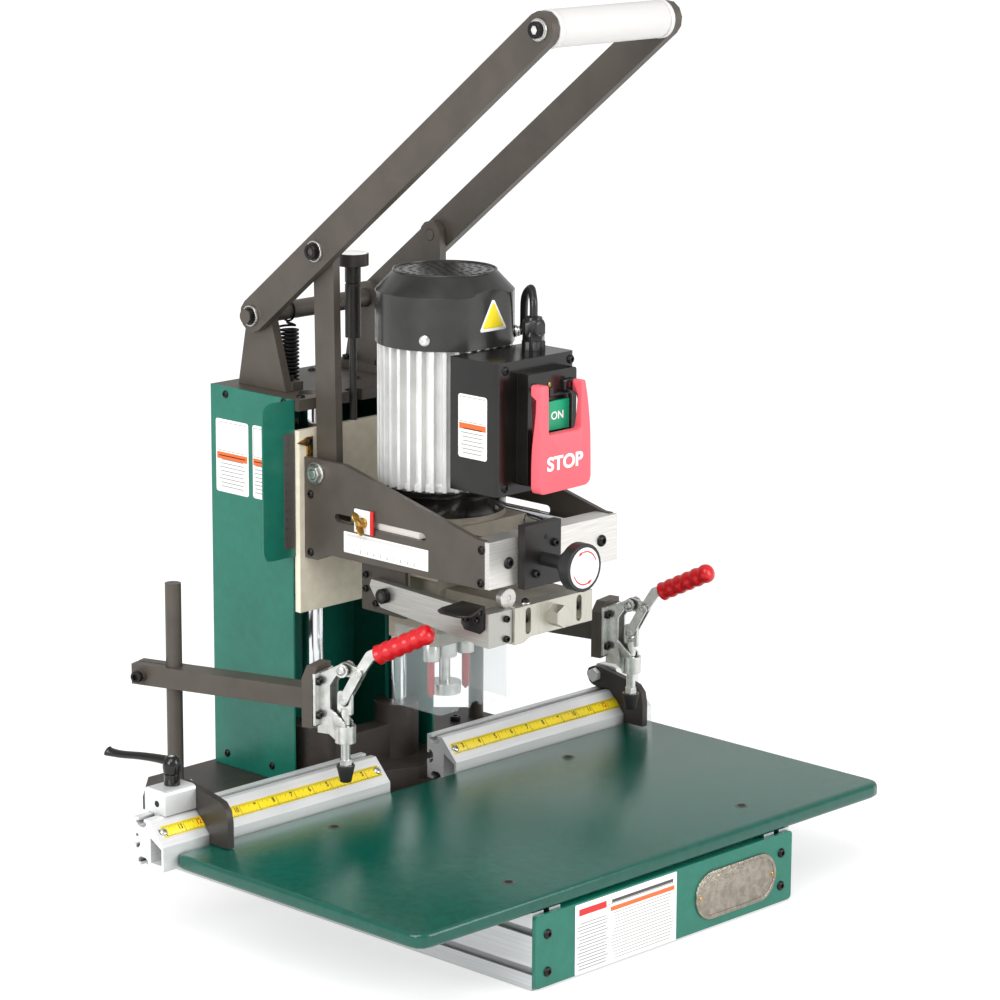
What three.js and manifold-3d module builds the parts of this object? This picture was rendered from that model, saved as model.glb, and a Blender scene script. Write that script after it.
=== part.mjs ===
// Hinge boring machine for cabinet doors: a bench machine whose head slides down two guide rods.
// Millimetres. X runs to the operator's right, -Y towards the operator, +Z up.
// The origin lies on the underside of the base casting, midway between the guide rods.
import * as THREE from "three";
import { mergeVertices } from "three/addons/utils/BufferGeometryUtils.js";
import Module from "manifold-3d";

const wasm = await Module();
wasm.setup();

// Fits
const seat = 0.3; // between pieces that rest on each other
const slip = 0.45; // radial, for what slides or turns
const overrun = 6; // how far a cutter runs past a face
const weld = 0.0001; // vertices closer than this are one

// Sides of round forms
const facets = { fine: 24, plain: 16, small: 10, arc: 3, hole: 6 };

// Base
const rail = { width: 40, height: 80, centre: 175, rear: 110, mouth: 8, lip: 3, pocket: 17, deep: 10 };
const panel = { thickness: 4, proud: 2, lift: 2, gapAbove: 3, edge: 0.5, corner: 5 };
const table = { width: 702, depth: 351, thickness: 16, corner: 18, rearCorner: 8, round: 4, roundSteps: 3 };
const fence = {
  face: 107, // from the plane of the guide rods to the front face
  depth: 45, top: 130, start: 50, end: 368, lipHeight: 26, ridge: 22, wall: 3,
  mouth: 8, pocket: 15, lip: 3, deep: 9, footSlot: 13.5,
};
const casting = {
  wingHalf: 245, wingTop: 94, wingBack: 120, chamfer: 50, bossRadius: 25, bossTop: 154,
  rodFloor: 50, recessHalf: 46, recessFloor: 62, recessSide: 69, webTop: 132, webHalf: 12, bodyFront: 100,
};
const rod = { radius: 12.5, spread: 63 };

// Column
const column = { half: 105, sheet: 2, front: 16.5, back: 112, top: 517 };
const topPlate = { thickness: 12, rodBelow: 3, springHole: 17, stopNotch: 9.2 };
const scaleBracket = { reach: 43, drop: 169, corner: 12 };
const ear = {
  outer: 83, thickness: 10, footLength: 75, footCentre: 54, footHigh: 9, foot: 15, topRadius: 18,
};
const pivot = { y: 57.8, z: 596, radius: 10, neck: 6, washer: 11, washerThick: 2.5, head: 8, headThick: 7 };

// Lever and links
const lever = {
  bar: 36, thickness: 10, midAcross: 100.1, midRise: 80, endAcross: 418.8, endRise: 330,
  play: 0.6, pin: 6,
};
const grip = { radius: 19, crown: 17, taper: 10 };
const link = { width: 30, thickness: 9.4, lowerY: -46.2, lowerZ: 441, boss: 9 };

// Carriage
const carriage = {
  half: 102.4, front: 25, thickness: 8, bottom: 287, top: 484,
  housingHalf: 21, housingBack: 22, housingBottom: 300, housingTop: 468,
};
const springLug = { half: 9, thickness: 8, reach: 12 };
const stopRod = { x: -20, radius: 4, top: 610 };
const sidePlate = {
  outer: 95.6, thickness: 6, topZ: 456, kneeY: 87, noseTop: 408.8, noseY: 282, front: 291.5, noseBottom: 358,
  heelZ: 355.5, heelY: 65, rearZ: 347, rearY: 44, slotStart: 71.5, slotEnd: 207, slotZ: 398, slotHalf: 4.5,
};
const crossBar = { bottom: 359, top: 408, lip: 6, depth: 24, socket: 12 };
const screwPlate = { left: 54, right: 1, bottom: 354, top: 420, thickness: 10 };
const slideRod = { x: 62, z: 392, radius: 10 };
const setback = {
  x: -26, z: 382, screw: 5, collar: 7, collarLength: 31, knob: 25, knobLength: 25, waist: 14, waistLength: 6,
  dishLength: 12.5, edge: 0.6, end: 190,
};
const stopSleeve = {
  radius: 8.5, bottom: 574, knobBottom: 651, knobTop: 664, knob: 17, groove: 1.2, grooveZ: 632, bore: 656,
};

// Boring head
const axis = { y: -139 };
const mount = {
  half: 76, front: 205, back: 75, bottom: 348, deck: 400, top: 406, screwEnd: 160,
  hangerFoot: 302, hangerFront: 19, hangerRear: 46, hangerTop: 360, hangerCorner: 2, cap: 7.7,
};
const motor = {
  ringRadius: 64, ringBottom: 406.4, finBottom: 435, finTop: 583, core: 61, tip: 71, fins: 34,
  finShare: 0.46, finTaperShare: 0.15, flat: 203.7, shaftBore: 9.5,
};
const fanCover = {
  radius: 73, flat: 67, wall: 2.5, shoulder: 638, top: 658, crown: 54, hole: 2.7, pitch: 9.2, rings: 5,
};
const rotor = { shaft: 8.5, fanHub: 14, fanRadius: 58, fanBottom: 598, fanTop: 622, blade: 2, blades: 7, top: 630 };
const gearHousing = { half: 49.5, front: 178, back: 105, bottom: 268 };
const restPlate = { left: 38, right: 58, front: 280, bottom: 318, top: 330, notch: 12, notchX: 30, notchRear: 214 };
const bits = {
  spread: 26, forward: 5.5, gap: 0.9, chuck: 13, collar: 9, collarBottom: 243, radius: 4, tip: 203, shank: 5,
  centreShank: 6, cutter: 17.5, cutterHeight: 12, socket: 320, point: 0.8,
};
const guard = { half: 53, wall: 3, front: 185, back: 118, bottom: 196, top: 284, scallop: 9, scallopRise: 6 };
const box = { half: 57, back: 204, front: 270, bottom: 444, belowCover: 1, corner: 4 };
const gland = { x: 31, y: -237, radius: 12, shoulder: 11.4, neck: 9, nutTop: 597, top: 616 };
const lead = {
  radius: 4, cableSides: 8, steps: 22, entryZ: 593, entryAngle: -46, rise: 12, bow: [2, 3, 20], crest: [8, 12, 27],
  fall: [17, 29, 14], near: [9, 6], run: 6,
};
const switchBase = { left: -27, right: 45, bottom: 453, top: 569, front: 285, pocketDeep: 12 };
const button = { left: 1, right: 31, bottom: 508, top: 538, proud: 3, length: 9, travel: 4 };
const paddle = {
  front: 306, thickness: 7, bottom: 445, top: 557, notchLeft: -9, notchRight: 37, notchBottom: 507,
  hingeY: -293, hingeZ: 551, pin: 2.5, eye: 6, eyeTop: 555, skirt: 5, skirtDeep: 6, skirtRise: 16, corner: 8,
  topCorner: 4, notchCorner: 1.2,
};
const paddleLug = { width: 5, height: 9, reach: 5, gap: 0.6 };

// Swing frame with the block that presses hinges home
const swing = {
  pivotY: -145, pivotZ: 326, outer: 93, thickness: 10, rearRadius: 14, frontY: 295, frontTop: 333,
  frontBottom: 297, headDepth: 20, headInner: 58.3, pin: 5, shoulder: 21, heel: 24,
};
const pressBlock = {
  half: 58, front: 298, thickness: 15.5, top: 333.5, bottom: 300, toeBottom: 295, toe: 12,
  slot: 38, slotHalf: 4, slotDeep: 7.75, slotLow: 307, slotHigh: 327, hex: 12, hexLength: 15,
};

// Return spring, coiled round a vertical axis below the pivot shaft
const spring = {
  x: -42, radius: 11.4, wire: 1.3, turns: 17, steps: 8, sides: 5, top: 578, bottom: 508, hook: 6, anchor: 477,
};

// Hold-down clamps
const post = { x: 226.6, y: 37, radius: 8.6, top: 331, floor: 85 };
const clamp = {
  reach: 205, leftZ: 230, rightZ: 222, leftTurn: 18, rightTurn: 12,
  armHalf: 12.5, armHigh: 22, tail: 45, split: 1.2, boltY: 33, bolt: 7,
  boltReach: 6, plateStart: 165, plateThick: 12, plateHalf: 20, plateUp: 34, plateDown: 29, plateCut: 11,
};
const toggle = {
  flange: 3, flangeHalf: 19, flangeUp: 29, flangeDown: 26, cheek: 6.2, cheekThick: 2.8,
  pivotUp: 33, pivotRound: 7.5, crank: 16.9, crankAngle: -6.8, pin: 3, web: 2.4,
  linkLength: 34.9, linkGap: 0.5, linkThick: 2.7, linkRound: 5, bossRadius: 11, bossTop: 26.5, bossBottom: 45,
  toe: 6.6, heel: 4.4, throat: 13, throatFoot: 8.8, throatWaist: 16.5, webFoot: 36,
  plunger: 5, travel: 22, tongueHalf: 8.2, tongueUp: 9.4, tongueDown: 15, tongueCorner: 4, eyeAcross: 5.9, eyeUp: 7,
  nut: 7, nutTop: 63, nutHigh: 6, tip: 9, tipEnd: 5.5, tipBottom: 87,
};
const handle = {
  gripStart: 43.6, gripEnd: 106, gripAngle: 27, grip: 8.6, gripNeck: 6.9, gripWaist: 7.7, gripTip: 5.2, bar: 5.5, hub: 7.5,
  neck: 34.9, neckAngle: 31,
};

// Flip stops
const stop = {
  left: -307, blockLength: 41, rightBlock: 38, right: 328.4, front: 88, back: 56, bottom: 130.3, top: 156,
  bevel: 5, plate: 8, pivotY: -64, pivotZ: 145, pivotPin: 4, nut: 8, nutThick: 6, key: 3, keyHalf: 3.5,
};
const flip = { clear: 1, reach: 28, footTop: 124, knee: 22, crest: 147, crestRear: 155, crestRound: 6, gap: 0.6 };
const stopLever = { hub: 9, hubTop: 6.8, hubHigh: 27, inset: 18, arm: 92, armUp: 21.6, armRoot: 4, armTip: 3.5, angle: 104, rise: 6 };

const tableTop = rail.height + table.thickness;
const fenceRear = -fence.face + fence.depth;
const springY = pivot.y;

// Turns a closed geometry into a solid with outward faces.
function solid(geometry) {
  const bare = geometry.clone();
  bare.deleteAttribute("normal");
  bare.deleteAttribute("uv");
  const merged = mergeVertices(bare, weld);
  const index = Array.from(merged.index.array);
  const kept = [];
  for (let i = 0; i < index.length; i += 3) {
    const [a, b, c] = index.slice(i, i + 3);
    if (a !== b && b !== c && a !== c) kept.push(a, b, c);
  }
  const vertProperties = merged.attributes.position.array;
  const made = new wasm.Manifold(
    new wasm.Mesh({ numProp: 3, vertProperties, triVerts: new Uint32Array(kept) }),
  );
  if (made.volume() > 0) return made;
  for (let i = 0; i < kept.length; i += 3) [kept[i], kept[i + 1]] = [kept[i + 1], kept[i]];
  return new wasm.Manifold(
    new wasm.Mesh({ numProp: 3, vertProperties, triVerts: new Uint32Array(kept) }),
  );
}

// A block between two corners.
function block(x0, x1, y0, y1, z0, z1) {
  const geometry = new THREE.BoxGeometry(x1 - x0, y1 - y0, z1 - z0);
  geometry.translate((x0 + x1) / 2, (y0 + y1) / 2, (z0 + z1) / 2);
  return solid(geometry);
}

// A shape drawn in the YZ plane, carried along X.
function alongX(shape, x0, x1, segments = facets.arc) {
  const geometry = new THREE.ExtrudeGeometry(shape, {
    depth: x1 - x0, bevelEnabled: false, curveSegments: segments,
  });
  const turn = new THREE.Matrix4().makeBasis(
    new THREE.Vector3(0, 1, 0), new THREE.Vector3(0, 0, 1), new THREE.Vector3(1, 0, 0),
  );
  geometry.applyMatrix4(turn);
  geometry.translate(x0, 0, 0);
  return solid(geometry);
}

// A shape drawn in the XZ plane, carried along Y.
function alongY(shape, y0, y1, segments = facets.arc) {
  const geometry = new THREE.ExtrudeGeometry(shape, {
    depth: y1 - y0, bevelEnabled: false, curveSegments: segments,
  });
  geometry.rotateX(Math.PI / 2);
  geometry.translate(0, y1, 0);
  return solid(geometry);
}

// A shape drawn in the XY plane, carried up Z.
function alongZ(shape, z0, z1, segments = facets.arc) {
  const geometry = new THREE.ExtrudeGeometry(shape, {
    depth: z1 - z0, bevelEnabled: false, curveSegments: segments,
  });
  geometry.translate(0, 0, z0);
  return solid(geometry);
}

// A shape through points, with straight sides.
function outline(points) {
  return new THREE.Shape(points.map(([a, b]) => new THREE.Vector2(a, b)));
}

// The same with each corner rounded by its own radius, the third value of a point.
function rounded(points) {
  const shape = new THREE.Shape();
  const corners = points.map(([a, b]) => new THREE.Vector2(a, b));
  corners.forEach((here, i) => {
    const before = corners[(i + corners.length - 1) % corners.length];
    const after = corners[(i + 1) % corners.length];
    const radius = points[i][2] || 0;
    const into = before.clone().sub(here).normalize();
    const out = after.clone().sub(here).normalize();
    const half = Math.acos(THREE.MathUtils.clamp(into.dot(out), -1, 1)) / 2;
    const back = radius ? radius / Math.tan(half) : 0;
    const start = here.clone().addScaledVector(into, back);
    const end = here.clone().addScaledVector(out, back);
    if (i === 0) shape.moveTo(start.x, start.y);
    else shape.lineTo(start.x, start.y);
    if (radius) shape.quadraticCurveTo(here.x, here.y, end.x, end.y);
  });
  shape.closePath();
  return shape;
}

// A bar with round ends between two points.
function strap(y0, z0, y1, z1, radius, endRadius = radius) {
  const along = Math.atan2(z1 - z0, y1 - y0);
  const lean = Math.asin((endRadius - radius) / Math.hypot(y1 - y0, z1 - z0));
  const shape = new THREE.Shape();
  const quarter = Math.PI / 2;
  shape.absarc(y0, z0, radius, along + quarter + lean, along - quarter - lean, false);
  shape.absarc(y1, z1, endRadius, along - quarter - lean, along + quarter + lean, false);
  shape.closePath();
  return shape;
}

function cylinder(radius, length, sides, endRadius = radius) {
  return new THREE.CylinderGeometry(endRadius, radius, length, sides);
}

function roundX(radius, x0, x1, y, z, sides = facets.plain) {
  const geometry = cylinder(radius, x1 - x0, sides);
  geometry.rotateZ(-Math.PI / 2);
  geometry.translate((x0 + x1) / 2, y, z);
  return solid(geometry);
}

function roundY(radius, y0, y1, x, z, sides = facets.plain) {
  const geometry = cylinder(radius, y1 - y0, sides);
  geometry.translate(x, (y0 + y1) / 2, z);
  return solid(geometry);
}

function roundZ(radius, z0, z1, x, y, sides = facets.plain, endRadius = radius) {
  const geometry = cylinder(radius, z1 - z0, sides, endRadius);
  geometry.rotateX(Math.PI / 2);
  geometry.translate(x, y, (z0 + z1) / 2);
  return solid(geometry);
}

// A profile of radius and height, turned round a vertical axis.
function turned(profile, x, y, sides = facets.fine) {
  const geometry = new THREE.LatheGeometry(profile.map(([r, z]) => new THREE.Vector2(r, z)), sides);
  geometry.rotateX(Math.PI / 2);
  geometry.translate(x, y, 0);
  return solid(geometry);
}

function joined(...bodies) {
  return bodies.reduce((sum, body) => sum.add(body));
}

function without(body, ...cutters) {
  return cutters.reduce((rest, cutter) => rest.subtract(cutter), body);
}

// A named mesh with a material of its own.
function piece(name, body, [color, roughness, metalness]) {
  const found = body.getMesh();
  const geometry = new THREE.BufferGeometry();
  geometry.setAttribute("position", new THREE.BufferAttribute(Float32Array.from(found.vertProperties), 3));
  geometry.setIndex(new THREE.BufferAttribute(Uint32Array.from(found.triVerts), 1));
  geometry.computeVertexNormals();
  const mesh = new THREE.Mesh(geometry, new THREE.MeshStandardMaterial({ color, roughness, metalness }));
  mesh.name = name;
  return mesh;
}

const finish = {
  green: [0x0f6b57, 0.4, 0],
  dark: [0x4b4540, 0.55, 0.1],
  cream: [0xcfc8b4, 0.5, 0],
  aluminium: [0xc9cbcc, 0.35, 0.9],
  chrome: [0xd9dcde, 0.15, 1],
  black: [0x17181a, 0.35, 0],
  iron: [0x3a3531, 0.7, 0.3],
  zinc: [0xc4c6c2, 0.35, 0.9],
  red: [0xd21f2b, 0.4, 0],
  white: [0xf0f0ec, 0.35, 0],
  clear: [0xdfe8ea, 0.1, 0],
  spring: [0x1b1b1b, 0.4, 0.6],
  buttonGreen: [0x0f8f4f, 0.4, 0],
};

// A T-shaped groove that opens at (a, b) and runs inwards along the direction (da, db).
function groove(a, b, da, db, { mouth, lip, pocket, deep }) {
  const [sa, sb] = [-db, da];
  const at = (across, into) => [a + sa * across + da * into, b + sb * across + db * into];
  const [narrow, wide] = [mouth / 2, pocket / 2];
  return outline([
    at(-narrow, -overrun), at(narrow, -overrun), at(narrow, lip), at(wide, lip),
    at(wide, lip + (deep - lip) / 2), at(narrow, deep), at(-narrow, deep),
    at(-wide, lip + (deep - lip) / 2), at(-wide, lip), at(-narrow, lip),
  ]);
}

function baseRail(sign) {
  const front = -(fence.face + seat + table.depth) + seat * 2 - panel.proud + panel.thickness;
  const [x0, x1] = [sign * rail.centre - rail.width / 2, sign * rail.centre + rail.width / 2];
  const [y0, y1] = [front - overrun, rail.rear + overrun];
  const body = block(x0, x1, front, rail.rear, 0, rail.height);
  const quarter = rail.height / 4;
  const cuts = [];
  for (const z of [quarter, rail.height - quarter]) {
    cuts.push(alongY(groove(x0, z, 1, 0, rail), y0, y1));
    cuts.push(alongY(groove(x1, z, -1, 0, rail), y0, y1));
  }
  cuts.push(alongY(groove(sign * rail.centre, rail.height, 0, -1, rail), y0, y1));
  cuts.push(alongY(groove(sign * rail.centre, 0, 0, 1, rail), y0, y1));
  return without(body, ...cuts);
}

function frontPanel() {
  const front = -(fence.face + seat + table.depth) - panel.proud;
  const half = rail.centre + rail.width / 2 + panel.edge;
  const [low, high, corner] = [panel.lift, rail.height - panel.gapAbove, panel.corner];
  const face = rounded([[-half, low, corner], [half, low, corner], [half, high, corner], [-half, high, corner]]);
  return alongY(face, front, front + panel.thickness);
}

// The table's edges are rounded all the way round, above and below.
function workTable() {
  const back = -fence.face - seat;
  const [half, front] = [table.width / 2, back - table.depth];
  const plan = rounded([
    [-half, front, table.corner], [half, front, table.corner],
    [half, back, table.rearCorner], [-half, back, table.rearCorner],
  ]);
  const geometry = new THREE.ExtrudeGeometry(plan, {
    depth: table.thickness - seat - 2 * table.round, curveSegments: facets.arc, bevelSegments: table.roundSteps,
    bevelThickness: table.round, bevelSize: table.round, bevelOffset: -table.round,
  });
  geometry.translate(0, 0, rail.height + seat + table.round);
  return solid(geometry);
}

function fenceBar(sign) {
  const [front, back, bottom] = [-fence.face, fenceRear, rail.height + seat];
  const lipTop = bottom + fence.lipHeight;
  const ridge = front + fence.ridge;
  const profile = outline([[front, bottom], [back, bottom], [back, fence.top], [ridge, fence.top], [front, lipTop]]);
  const middle = (ridge + back) / 2;
  const chamber = fence.depth / 2 - fence.wall * 2;
  const low = bottom + fence.wall * 2;
  profile.holes.push(new THREE.Path([
    new THREE.Vector2(front + fence.wall, low),
    new THREE.Vector2(front + fence.wall, lipTop - fence.wall),
    new THREE.Vector2(front + fence.wall + chamber, lipTop + fence.wall * 2),
    new THREE.Vector2(front + fence.wall + chamber, low),
  ]));
  const [x0, x1] = sign < 0 ? [-fence.end, -fence.start] : [fence.start, fence.end];
  return without(
    alongX(profile, x0, x1),
    alongX(groove(middle, fence.top, 0, -1, fence), x0 - overrun, x1 + overrun),
    alongX(groove(back, (bottom + fence.top) / 2, -1, 0, fence), x0 - overrun, x1 + overrun),
    alongX(groove(back - fence.footSlot, bottom, 0, 1, fence), x0 - overrun, x1 + overrun),
  );
}

function baseCasting() {
  const inner = rail.centre - rail.width / 2 - seat;
  const wingBottom = rail.height + seat;
  const wingFront = fenceRear + seat;
  const cut = casting.chamfer;
  const wing = outline([
    [-casting.wingHalf, wingFront], [casting.wingHalf, wingFront],
    [casting.wingHalf, casting.wingBack - cut], [casting.wingHalf - cut, casting.wingBack],
    [-casting.wingHalf + cut, casting.wingBack], [-casting.wingHalf, casting.wingBack - cut],
  ]);
  let body = joined(
    block(-inner, inner, -casting.bodyFront, column.back, 0, wingBottom - seat * 2),
    alongZ(wing, wingBottom, casting.wingTop),
    block(-inner, inner, wingFront, column.back, rail.height / 2, casting.wingTop),
    block(-rod.spread, rod.spread, -casting.webHalf, casting.webHalf, rail.height / 2, casting.webTop),
  );
  for (const sign of [-1, 1]) {
    const x = sign * rod.spread;
    body = body.add(roundZ(casting.bossRadius, rail.height / 2, casting.bossTop, x, 0));
    body = body.subtract(
      roundZ(rod.radius + seat, casting.rodFloor, casting.bossTop + overrun, x, 0, facets.fine),
    );
    body = body.subtract(
      roundZ(post.radius + seat, post.floor, casting.wingTop + overrun, sign * post.x, post.y, facets.plain),
    );
  }
  const arch = new THREE.Shape();
  arch.moveTo(-casting.recessHalf, -casting.bodyFront - overrun);
  arch.lineTo(casting.recessHalf, -casting.bodyFront - overrun);
  arch.lineTo(casting.recessHalf, -casting.recessSide);
  arch.quadraticCurveTo(0, -casting.bossRadius, -casting.recessHalf, -casting.recessSide);
  arch.closePath();
  return body.subtract(alongZ(arch, casting.recessFloor, casting.wingTop + overrun, facets.small));
}

function leftCover() {
  const [x0, x1] = [-column.half, -column.half + column.sheet];
  const side = block(x0, x1, -column.front, column.back, casting.wingTop + seat, column.top);
  const low = column.top - scaleBracket.drop;
  const tab = rounded([
    [x1, low], [x1, column.top],
    [x0 - scaleBracket.reach, column.top, scaleBracket.corner],
    [x0 - scaleBracket.reach, low, scaleBracket.corner],
  ]);
  return side.add(alongY(tab, -column.front - column.sheet, -column.front));
}

function rightCover() {
  const [x0, x1] = [column.half - column.sheet, column.half];
  const low = casting.wingTop + seat;
  return joined(
    block(x0, x1, -column.front, column.back, low, column.top),
    block(-x0 + seat, x1, column.back - column.sheet, column.back, low, column.top),
  );
}

function columnTop() {
  const half = column.half - column.sheet - seat;
  const [front, back] = [-carriage.front + seat, column.back - column.sheet - seat];
  const z0 = column.top - topPlate.thickness;
  const holes = [-1, 1].map((sign) =>
    roundZ(rod.radius + seat, z0 - overrun, column.top + overrun, sign * rod.spread, 0, facets.fine),
  );
  const stopY = stopRodY();
  return without(
    block(-half, half, front, back, z0, column.top),
    ...holes,
    roundZ(topPlate.springHole, z0 - overrun, column.top + overrun, spring.x, springY),
    roundZ(topPlate.stopNotch, z0 - overrun, column.top + overrun, stopRod.x, stopY),
    block(
      stopRod.x - topPlate.stopNotch, stopRod.x + topPlate.stopNotch, front - overrun, stopY,
      z0 - overrun, column.top + overrun,
    ),
  );
}

function guideRod(sign) {
  const top = column.top - topPlate.rodBelow;
  return roundZ(rod.radius, casting.rodFloor + seat, top, sign * rod.spread, 0, facets.fine);
}

function pivotEar(sign) {
  const bottom = column.top + seat;
  const half = ear.footLength / 2;
  const side = new THREE.Shape();
  side.moveTo(ear.footCentre - half, bottom);
  side.lineTo(ear.footCentre + half, bottom);
  side.absarc(pivot.y, pivot.z, ear.topRadius, 0, Math.PI, false);
  side.closePath();
  const [outer, inner] = [sign * ear.outer, sign * (ear.outer - ear.thickness)];
  const [x0, x1] = [Math.min(outer, inner), Math.max(outer, inner)];
  const toe = sign * (ear.outer - ear.thickness - ear.foot);
  return without(
    joined(
      alongX(side, x0, x1, facets.small),
      block(
        Math.min(inner, toe), Math.max(inner, toe), ear.footCentre - half, ear.footCentre + half,
        bottom, bottom + ear.footHigh,
      ),
    ),
    roundX(pivot.radius + seat, x0 - overrun, x1 + overrun, pivot.y, pivot.z),
  );
}

function pivotShaft() {
  const shoulder = ear.outer;
  const armOuter = lever.play + ear.outer + lever.thickness + seat;
  const parts = [roundX(pivot.radius, -shoulder, shoulder, pivot.y, pivot.z)];
  for (const sign of [-1, 1]) {
    const span = (a, b) => [Math.min(sign * a, sign * b), Math.max(sign * a, sign * b)];
    parts.push(roundX(pivot.neck, ...span(0, armOuter), pivot.y, pivot.z));
    parts.push(roundX(pivot.washer, ...span(armOuter, armOuter + pivot.washerThick), pivot.y, pivot.z));
    const cap = armOuter + pivot.washerThick + pivot.headThick;
    parts.push(roundX(pivot.head, ...span(armOuter, cap), pivot.y, pivot.z, facets.small));
  }
  return joined(...parts);
}

const midPivot = { y: pivot.y - lever.midAcross, z: pivot.z + lever.midRise };
const gripPivot = { y: pivot.y - lever.endAcross, z: pivot.z + lever.endRise };
const armInner = ear.outer + lever.play;
const armOuterFace = armInner + lever.thickness;
const linkOuter = ear.outer - lever.play / 2;
const linkInner = linkOuter - link.thickness;

function leverArm(sign) {
  const side = strap(pivot.y, pivot.z, gripPivot.y, gripPivot.z, lever.bar / 2);
  const span = (a, b) => [Math.min(sign * a, sign * b), Math.max(sign * a, sign * b)];
  const [x0, x1] = span(armInner, armOuterFace);
  const bored = without(
    alongX(side, x0, x1, facets.arc),
    roundX(pivot.neck + slip, x0 - overrun, x1 + overrun, pivot.y, pivot.z),
    roundX(lever.pin + slip, x0 - overrun, x1 + overrun, gripPivot.y, gripPivot.z),
  );
  return joined(
    bored,
    roundX(lever.pin, ...span(linkInner - seat, armOuterFace), midPivot.y, midPivot.z),
    roundX(pivot.washer, ...span(armInner, armOuterFace + pivot.washerThick), midPivot.y, midPivot.z),
    roundX(pivot.head, ...span(armInner, armOuterFace + pivot.headThick), midPivot.y, midPivot.z, facets.small),
  );
}

function leverGrip() {
  const half = armInner - seat;
  const profile = [
    [0, -half], [grip.crown, -half], [grip.radius, -half + grip.taper],
    [grip.radius, half - grip.taper], [grip.crown, half], [0, half],
  ];
  const geometry = new THREE.LatheGeometry(profile.map(([r, z]) => new THREE.Vector2(r, z)), facets.plain);
  geometry.rotateZ(-Math.PI / 2);
  geometry.translate(0, gripPivot.y, gripPivot.z);
  const end = armOuterFace + seat;
  const parts = [solid(geometry), roundX(lever.pin, -end, end, gripPivot.y, gripPivot.z)];
  for (const sign of [-1, 1]) {
    const span = (a, b) => [Math.min(sign * a, sign * b), Math.max(sign * a, sign * b)];
    parts.push(roundX(pivot.washer, ...span(end, end + pivot.washerThick), gripPivot.y, gripPivot.z));
    parts.push(roundX(pivot.head, ...span(end, end + pivot.headThick), gripPivot.y, gripPivot.z, facets.small));
  }
  return joined(...parts);
}

function linkBar(sign) {
  const [x0, x1] = [sign * linkInner, sign * linkOuter].sort((a, b) => a - b);
  const side = strap(midPivot.y, midPivot.z, link.lowerY, link.lowerZ, link.width / 2);
  const boss = [sign * linkInner, sign * (sidePlate.outer - sidePlate.thickness - seat * 2)];
  return without(
    joined(
      alongX(side, x0, x1, facets.arc),
      roundX(link.boss, ...boss.sort((a, b) => a - b), link.lowerY, link.lowerZ),
    ),
    roundX(lever.pin + slip, x0 - overrun, x1 + overrun, midPivot.y, midPivot.z),
  );
}

function stopRodY() {
  return -carriage.front + carriage.thickness / 2;
}

function carriagePlate() {
  const [front, rear] = [-carriage.front, -carriage.front + carriage.thickness];
  let body = block(-carriage.half, carriage.half, front, rear, carriage.bottom, carriage.top);
  for (const sign of [-1, 1]) {
    const x = sign * rod.spread;
    body = body.add(block(
      x - carriage.housingHalf, x + carriage.housingHalf, rear, carriage.housingBack,
      carriage.housingBottom, carriage.housingTop,
    ));
  }
  const lugTop = spring.anchor - seat;
  body = joined(
    body,
    block(
      spring.x - springLug.half, spring.x + springLug.half, rear, springY + springLug.reach,
      lugTop - springLug.thickness, lugTop,
    ),
    roundZ(stopRod.radius, carriage.top - carriage.thickness, stopRod.top, stopRod.x, stopRodY(), facets.small),
  );
  for (const sign of [-1, 1]) {
    body = body.subtract(roundZ(
      rod.radius + slip, carriage.bottom - overrun, carriage.top + overrun, sign * rod.spread, 0, facets.fine,
    ));
  }
  return body;
}

function sidePlateSolid(sign) {
  const rear = -carriage.front - seat;
  const side = outline([
    [rear, sidePlate.topZ], [-sidePlate.kneeY, sidePlate.topZ], [-sidePlate.noseY, sidePlate.noseTop],
    [-sidePlate.front, sidePlate.noseTop], [-sidePlate.front, sidePlate.noseBottom],
    [-sidePlate.heelY, sidePlate.heelZ], [-sidePlate.rearY, sidePlate.rearZ], [rear, sidePlate.rearZ],
  ]);
  const span = (a, b) => [sign * a, sign * b].sort((p, q) => p - q);
  const [x0, x1] = span(sidePlate.outer - sidePlate.thickness, sidePlate.outer);
  const slot = strap(
    -sidePlate.slotStart - sidePlate.slotHalf, sidePlate.slotZ,
    -sidePlate.slotEnd + sidePlate.slotHalf, sidePlate.slotZ, sidePlate.slotHalf,
  );
  return joined(
    alongX(side, x0, x1).subtract(alongX(slot, x0 - overrun, x1 + overrun)),
    roundX(pivot.head, ...span(sidePlate.outer - lever.play, sidePlate.outer + pivot.headThick),
      link.lowerY, link.lowerZ, facets.small),
  );
}

const barFront = -sidePlate.front - seat - crossBar.lip;

function crossBarSolid() {
  const inner = sidePlate.outer - sidePlate.thickness - seat;
  const back = barFront + crossBar.depth;
  const bored = [-1, 1].map((sign) =>
    roundY(slideRod.radius + seat, back - crossBar.socket, back + overrun, sign * slideRod.x, slideRod.z),
  );
  return without(
    joined(
      block(-sidePlate.outer, sidePlate.outer, barFront, barFront + crossBar.lip, crossBar.bottom, crossBar.top),
      block(-inner, inner, barFront, back, crossBar.bottom, crossBar.top),
    ),
    ...bored,
    roundY(setback.screw + slip, barFront - overrun, back + overrun, setback.x, setback.z),
  );
}

function screwPlateSolid() {
  const rear = barFront - seat;
  return without(
    block(-screwPlate.left, -screwPlate.right, rear - screwPlate.thickness, rear,
      screwPlate.bottom, screwPlate.top),
    roundY(setback.screw + slip, rear - screwPlate.thickness - overrun, rear + overrun, setback.x, setback.z),
  );
}

function slideRodSolid(sign) {
  const front = barFront + crossBar.depth - crossBar.socket + seat;
  return roundY(slideRod.radius, front, -carriage.front - seat, sign * slideRod.x, slideRod.z);
}

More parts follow.
